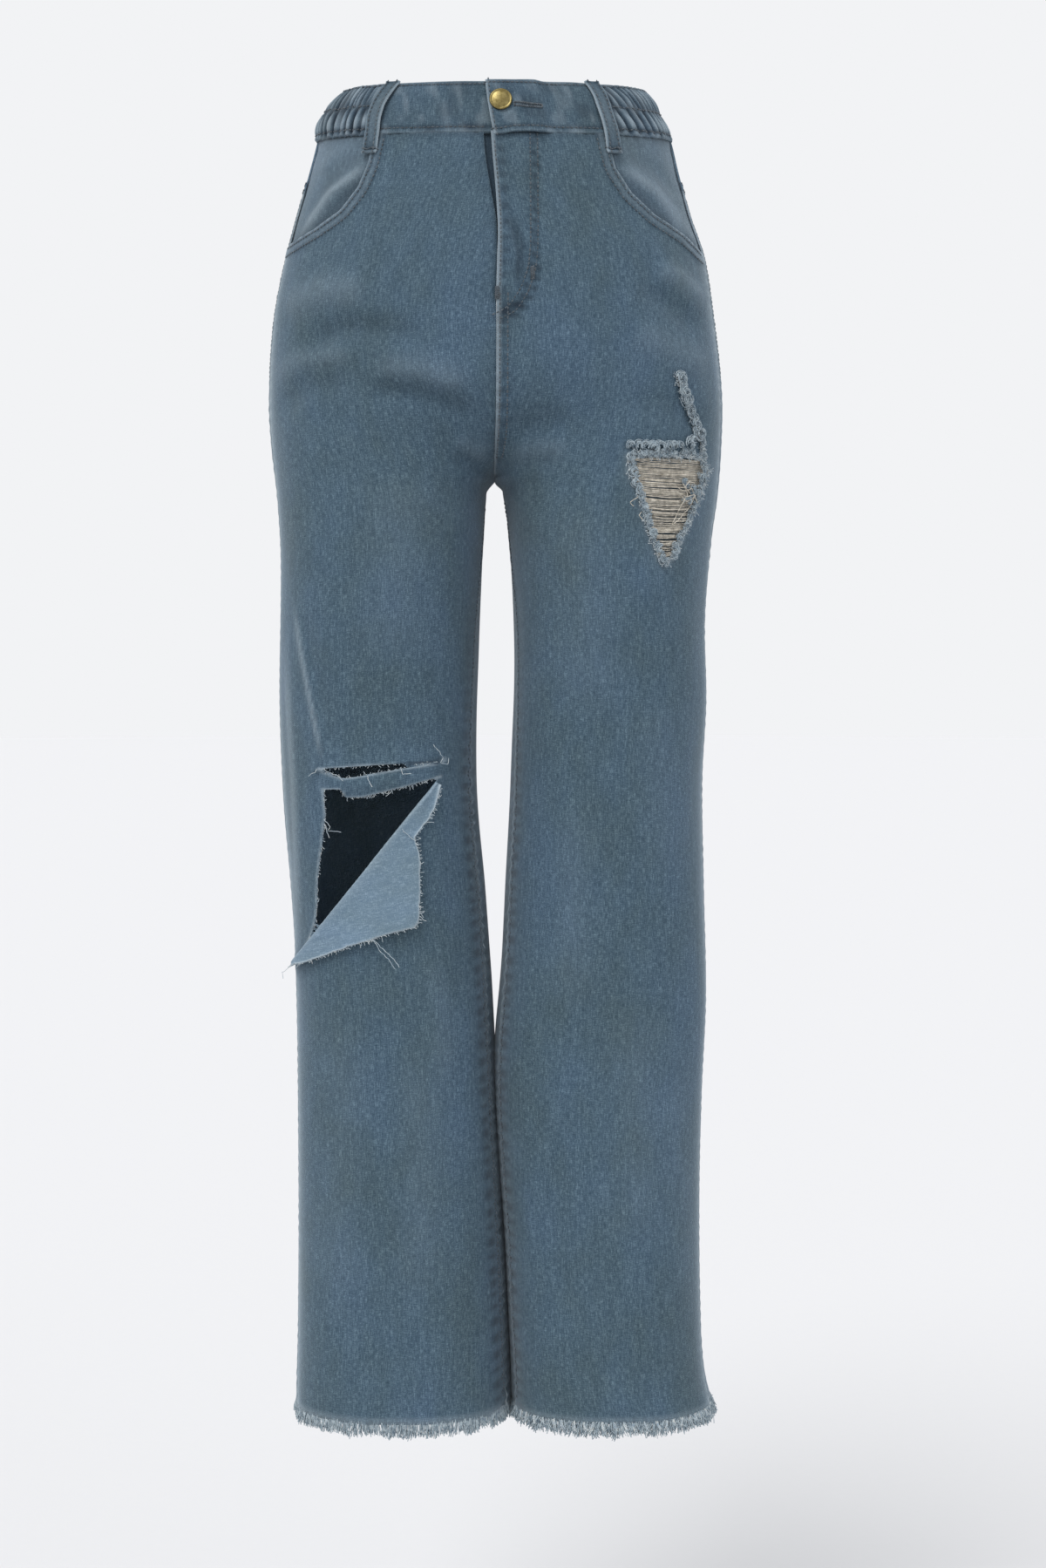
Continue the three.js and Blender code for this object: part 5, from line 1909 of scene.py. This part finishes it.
def edge_roots(cloth, outline, spacing, random, closed):
    """Places along an outline on a cloth, with the direction into the hole and out of the cloth."""
    ring = np.array(outline + outline[:1] if closed else outline, float)
    line = even_line(ring, spacing)
    direction = unit(np.gradient(line, axis=0))
    line = line + random.uniform(-0.35, 0.35, line.shape)
    area = 0.5 * np.sum(ring[:-1, 0] * ring[1:, 1] - ring[1:, 0] * ring[:-1, 1])
    turn = 1 if area > 0 else -1
    inward = np.stack([-direction[:, 1], direction[:, 0]], axis=1) * turn
    points = cloth.place(*line.T, 0.0)
    outward = cloth.place(*line.T, 1.0) - points
    level = np.zeros(len(inward))
    into = np.stack([inward[:, 0], level, inward[:, 1]], axis=1)
    into -= outward * (into * outward).sum(axis=1, keepdims=True)
    along = np.stack([direction[:, 0], level, direction[:, 1]], axis=1)
    return points, into, outward, along


# Single loose yarns at the knee, as [x, height, lift off the cloth].
KNEE_THREADS = [
    [[-41, 497, 1], [-39, 500, 2], [-43, 505, 4], [-47, 511, 4]],
    [[-41, 497, 1], [-37, 496, 3], [-36, 500, 4]],
    [[-127, 455, 1], [-121, 449, 3], [-124, 446, 2], [-118, 446, 1], [-114, 445, 2]],
    [[-125, 447, 0], [-127, 452, 2], [-122, 441, 3]],
    [[-128, 492, 1], [-120, 490, 2], [-112, 484, 1]],
    [[-132, 492, 1], [-138, 487, 2]],
    [[-94, 488, 2], [-93, 484, 3], [-90, 480, 4]],
    [[-70, 494, 1], [-68, 489, 3], [-62, 488, 3]],
]


# Edges that fray at the knee: outline, whether it is closed, spacing and reach of the threads.
KNEE_EDGES = [
    (KNEE_SLIT, True, 2.2, 2.6), (KNEE_TORN, False, 1.5, 2.8), (KNEE_HOLE[3:6], False, 2.4, 4.6),
]
# Loose yarns of the flap's free edge: the column they leave it at, and their steps from there.
FLAP_THREADS = [
    (-1, [[-3, -1, -4], [-6, -2, -5], [-5, -3, -10]]),
    (60, [[8, -1, -7], [15, -1, -14], [20, -1, -21]]),
    (60, [[5, -1, -8], [12, -2, -15], [17, -2, -22]]),
    (22, [[-5, -2, 4], [-10, -2, 9]]),
]


class JEANS_OT_knee_fray(bpy.types.Operator):
    """Frays the edges of the torn knee, with its few long loose yarns"""

    bl_idname = "jeans.knee_fray"
    bl_label = "Knee Fraying"

    def execute(self, context):
        sizes = context.scene.jeans_sizes
        random = np.random.RandomState(sizes.seed + 5)
        front = front_cloth(RIGHT)
        roots, aims, reaches = [], [], []
        for outline, closed, spacing, full in KNEE_EDGES:
            points, into, outward, along = edge_roots(front, outline, spacing, random, closed)
            count = len(points)
            lean = random.uniform(-1.2, 1.2, (count, 1)) if full < 4 else -0.9
            aim = into * 0.6 + along * lean + outward * random.uniform(-0.1, 0.6, (count, 1))
            length = random.gamma(1.6, 0.45, count) * full * 0.6 + 0.5
            roots.append(points - outward * 0.5)
            aims.append(aim)
            reaches.append(np.minimum(length, 7))
        flap = flap_cloth()
        free = flap.points[-1]
        lengths = run_lengths(free)
        places = np.sort(random.uniform(4, lengths[-1] - 4, int(lengths[-1] / 0.8)))
        points = between(places, lengths, free)
        outward = between(places, lengths, flap.normals[-1])
        away = unit(points - between(places, lengths, flap.points[-3]))
        tangent = np.cross(outward, away)
        aim = away + tangent * random.uniform(-1.3, 1.3, (len(points), 1))
        aim += outward * random.uniform(-0.2, 0.5, (len(points), 1))
        roots.append(points - away * 0.6 - outward * 0.5)
        aims.append(aim)
        reaches.append(np.minimum(random.gamma(1.5, 0.9, len(points)) + 0.7, 7))
        fray_piece(
            "knee_fray", roots, aims, reaches, "fray", Thickness=sizes.yarn * 0.7, Curl=0.005,
            Curl_scale=260.0, Steps=6,
        )
        lines = [front.place_path(path, 1.5) for path in KNEE_THREADS]
        for column, steps in FLAP_THREADS:
            start = free[column]
            lines.append(np.array([start] + [start + step for step in steps]))
        yarns_piece(
            "knee_yarns", lines, "fray", Thickness=sizes.yarn * 0.8, Wander=0.003, Step=0.0012,
            Sides=5,
        )
        return {"FINISHED"}


# The fuzzy tear above the thigh rip, as [x, height].
THIGH_TEAR = [[136, 787], [141, 772], [147, 758], [152, 746], [156, 738], [155, 728]]
# Lines of curled tufts round the rip: points, way the curls face, and their size.
TUFT_LINES = [
    ([[101, 733], [112, 732], [126, 732], [138, 734], [150, 738]], (0, 1), 5.6),
    ([[104, 728], [118, 728.5], [134, 729.5], [150, 731]], (0, -1), 3.4),
    ([[137, 786], [142, 772], [148, 757], [152.5, 747], [157, 738]], (1, 0.4), 6.0),
    ([[141, 777], [146, 763], [150, 752], [154, 742]], (-1, -0.4), 5.4),
    ([[156, 733], [157, 724], [156, 712], [152, 699]], (1, 0), 4.2),
    ([[152, 699], [147, 685], [140, 668], [132, 652]], (1, -0.3), 3.8),
    ([[102, 726], [104, 714], [109, 698], [113, 684]], (-1, 0), 4.0),
    ([[113, 684], [117, 671], [122, 657], [128, 645]], (-1, -0.2), 3.6),
    ([[141, 708], [147, 704], [149, 697], [142, 693]], (0.6, 0.6), 3.6),
]


YARNS_IN_TUFT = 13


def curled_tufts(cloth, random):
    """Short ropes of torn yarn that have curled up on themselves, as lists of points."""
    threads = []
    for path, facing, size in TUFT_LINES:
        centres = smooth_line(path, size * 0.85)
        places = cloth.place(*centres.T, 0.3)
        outward = cloth.place(*centres.T, 1.3) - places
        for place, out in zip(places, outward):
            ahead = np.array([facing[0], 0, facing[1]], float)
            ahead += random.uniform(-0.8, 0.8, 3)
            ahead = unit(ahead - out * (ahead @ out))
            beside = np.cross(out, ahead) * random.choice([-1, 1])
            place = place + random.uniform(-1.1, 1.1, 3)
            reach = size * random.uniform(0.6, 1.15)
            for _ in range(YARNS_IN_TUFT):
                radius = reach * random.uniform(0.35, 1.0)
                start = random.uniform(-2.4, -1.6)
                turn = start + np.linspace(0, random.uniform(3.0, 4.8), 9)
                shrink = np.linspace(1.0, random.uniform(0.45, 0.8), 9)
                flat = np.outer(np.cos(turn) * shrink, ahead) + np.outer(np.sin(turn) * shrink, beside)
                rise = 0.3 + 0.75 * np.sqrt(np.maximum(reach**2 - (radius * shrink) ** 2, 0))
                shift = random.uniform(-1.0, 1.0, 3)
                threads.append(place + shift + flat * radius + out * rise[:, None])
    return threads


WEFT_END = 650
WEFT_STEPS = [0.36, 0.48, 0.65, 1.2]
WEFT_STEP_SHARES = [0.46, 0.34, 0.15, 0.05]


def weft_lines(front, random):
    """The ladder of weft yarns left across the thigh rip, from its top down."""
    outline = np.array(THIGH_RIP, float)
    part = np.linspace(0, 1, 9)
    lines = []
    height = outline[:, 1].max() - 0.6
    while height > WEFT_END:
        crossings = []
        for a, b in zip(outline, np.roll(outline, -1, axis=0)):
            if (a[1] > height) != (b[1] > height):
                crossings.append(a[0] + (b[0] - a[0]) * (height - a[1]) / (b[1] - a[1]))
        start, end = min(crossings) - 2.5, max(crossings) + 2.5
        sag = random.uniform(0.3, 1.8) * arch(part)
        places_x = start + (end - start) * part
        places_h = height - sag + random.uniform(-0.9, 0.9) * part
        hang = -0.9 - random.uniform(0, 2.2) * arch(part)
        lines.append(front.place(places_x, places_h, hang))
        height -= random.choice(WEFT_STEPS, p=WEFT_STEP_SHARES)
    return lines


# Loose yarns tangled over the thigh rip, as [x, height, lift off the cloth].
THIGH_TANGLE = [
    [[136, 704, 1], [140, 700, 4], [146, 703, 4], [149, 697, 3], [142, 692, 4], [138, 697, 3]],
    [[141, 706, 2], [143, 698, 4], [138, 690, 4], [135, 682, 3], [132, 675, 2]],
    [[132, 675, 2], [138, 680, 3], [146, 690, 2], [150, 698, 3]],
    [[109, 696, 1], [103, 692, 4], [100, 690, 4], [104, 688, 3]],
    [[110, 684, 1], [107, 681, 4], [110, 678, 4]],
    [[150, 706, 2], [144, 708, 4], [140, 703, 5], [145, 699, 4]],
    [[136, 700, 2], [141, 696, 5], [147, 698, 5], [151, 692, 3]],
]


class JEANS_OT_thigh_fray(bpy.types.Operator):
    """Ladders the thigh rip with ecru weft yarns and curls the torn warp along its edges"""

    bl_idname = "jeans.thigh_fray"
    bl_label = "Thigh Fraying"

    def execute(self, context):
        sizes = context.scene.jeans_sizes
        random = np.random.RandomState(sizes.seed + 9)
        front = front_cloth(LEFT)
        yarns_piece(
            "weft_yarns", weft_lines(front, random), "weft", Thickness=sizes.yarn * 0.95,
            Wander=0.0014, Step=0.004, Sides=5,
        )
        roots, aims, reaches = [], [], []
        for line, closed, spacing in ((THIGH_RIP, True, 0.3), (THIGH_TEAR, False, 0.2)):
            points, into, outward, along = edge_roots(front, line, spacing, random, closed)
            count = len(points)
            clump = noise(np.arange(count) * spacing / 4.6, 0.5, 95)[:, None]
            aim = into * random.uniform(-0.9, 0.9, (count, 1)) + along * (1.4 * clump)
            aim += outward * random.uniform(0.1, 1.0, (count, 1))
            shift = 2.2 if closed else 2.6
            roots.append(points - into * random.uniform(-0.4, shift, (count, 1)))
            aims.append(aim)
            reaches.append(2.2 + 1.8 * (0.5 + 0.5 * clump[:, 0]) + random.uniform(-0.8, 1.2, count))
        fray_piece(
            "thigh_fray", roots, aims, reaches, "fray", Thickness=sizes.yarn * 0.9, Curl=0.008,
            Curl_scale=330.0, Steps=6,
        )
        yarns_piece(
            "thigh_tufts", curled_tufts(front, random), "tuft", Thickness=sizes.yarn * 1.2,
            Wander=0.0014, Step=0.0015, Sides=4,
        )
        tangle = [front.place_path(path, 1.2) for path in THIGH_TANGLE]
        yarns_piece(
            "thigh_yarns", tangle, "weft", Thickness=sizes.yarn, Wander=0.0025, Step=0.0012,
            Sides=5,
        )
        return {"FINISHED"}


# ---------------- stage

CAMERA_DISTANCE = 1.85
# Above the hem.
CAMERA_HEIGHT = 0.554
CAMERA_ASIDE = 0.022
CAMERA_LENS = 36.3
CAMERA_SENSOR = 24.0
CAMERA_SHIFT = -0.062
# Below the fringe.
FLOOR_DROP = 0.3
FLOOR_RADIUS = 40
FLOOR_SIDES = 96


def add_sun(name, heading, elevation, strength, softness, colour):
    """A soft light from far off: heading 0 is from behind the camera, + from its right."""
    data = bpy.data.lights.new(name, "SUN")
    data.energy = strength
    data.angle = math.radians(softness)
    data.color = linear(colour)[:3]
    lamp = linked_object(name, data)
    lamp.rotation_euler = (math.radians(90 - elevation), 0, math.radians(heading))


class JEANS_OT_stage(bpy.types.Operator):
    """Lays the pale floor and sets the soft studio light and the camera"""

    bl_idname = "jeans.stage"
    bl_label = "Stage"

    def execute(self, context):
        scene = context.scene
        scene.view_settings.view_transform = "Standard"
        colours = scene.jeans_colours
        floor_z = CAD_BOX[0][2] - FLOOR_DROP
        angles = np.linspace(0, 2 * np.pi, FLOOR_SIDES + 1)[:-1]
        ring = [(FLOOR_RADIUS * math.cos(a), FLOOR_RADIUS * math.sin(a), floor_z) for a in angles]
        mesh = bpy.data.meshes.new("paper_floor")
        mesh.from_pydata(ring, [], [list(range(len(ring)))])
        mesh.materials.append(floor_material("studio paper", colours.paper))
        linked_object("paper_floor", mesh)
        world = bpy.data.worlds.new("studio")
        world.use_nodes = True
        background = world.node_tree.nodes["Background"]
        background.inputs["Color"].default_value = linear(colours.backdrop)
        background.inputs["Strength"].default_value = 1.0
        scene.world = world
        add_sun("key", -32, 52, 1.7, 30, "#ffffff")
        add_sun("fill", 40, 20, 0.35, 30, "#eef4ff")
        data = bpy.data.cameras.new("camera")
        data.sensor_fit = "VERTICAL"
        data.sensor_height = CAMERA_SENSOR
        data.lens = CAMERA_LENS
        data.shift_y = CAMERA_SHIFT
        camera = linked_object("camera", data)
        camera.location = (CAMERA_ASIDE, -CAMERA_DISTANCE, HEM_Z + CAMERA_HEIGHT)
        camera.rotation_euler = (math.pi / 2, 0, 0)
        scene.camera = camera
        return {"FINISHED"}


# ---------------- add-on

BUILD_ORDER = (
    JEANS_OT_stage, JEANS_OT_fronts, JEANS_OT_backs, JEANS_OT_pockets, JEANS_OT_waistband,
    JEANS_OT_loops, JEANS_OT_flap, JEANS_OT_stitching, JEANS_OT_button, JEANS_OT_hems,
    JEANS_OT_knee_fray, JEANS_OT_thigh_fray,
)


class JEANS_PT_panel(bpy.types.Panel):
    """Lists what builds the jeans"""

    bl_idname = "JEANS_PT_panel"
    bl_label = "Ripped Jeans"
    bl_space_type = "VIEW_3D"
    bl_region_type = "UI"
    bl_category = "Jeans"

    def draw(self, context):
        layout = self.layout
        for group in (context.scene.jeans_sizes, context.scene.jeans_colours):
            box = layout.box()
            for name in group.__annotations__:
                box.prop(group, name)
        for operator in BUILD_ORDER:
            layout.operator(operator.bl_idname)


CLASSES = (JeansSizes, JeansColours, *BUILD_ORDER, JEANS_PT_panel)


def register():
    for kind in CLASSES:
        bpy.utils.register_class(kind)
    bpy.types.Scene.jeans_sizes = PointerProperty(type=JeansSizes)
    bpy.types.Scene.jeans_colours = PointerProperty(type=JeansColours)


def unregister():
    del bpy.types.Scene.jeans_colours
    del bpy.types.Scene.jeans_sizes
    for kind in reversed(CLASSES):
        bpy.utils.unregister_class(kind)


def main():
    register()
    for operator in BUILD_ORDER:
        group, name = operator.bl_idname.split(".")
        getattr(getattr(bpy.ops, group), name)()


if __name__ == "__main__":
    main()
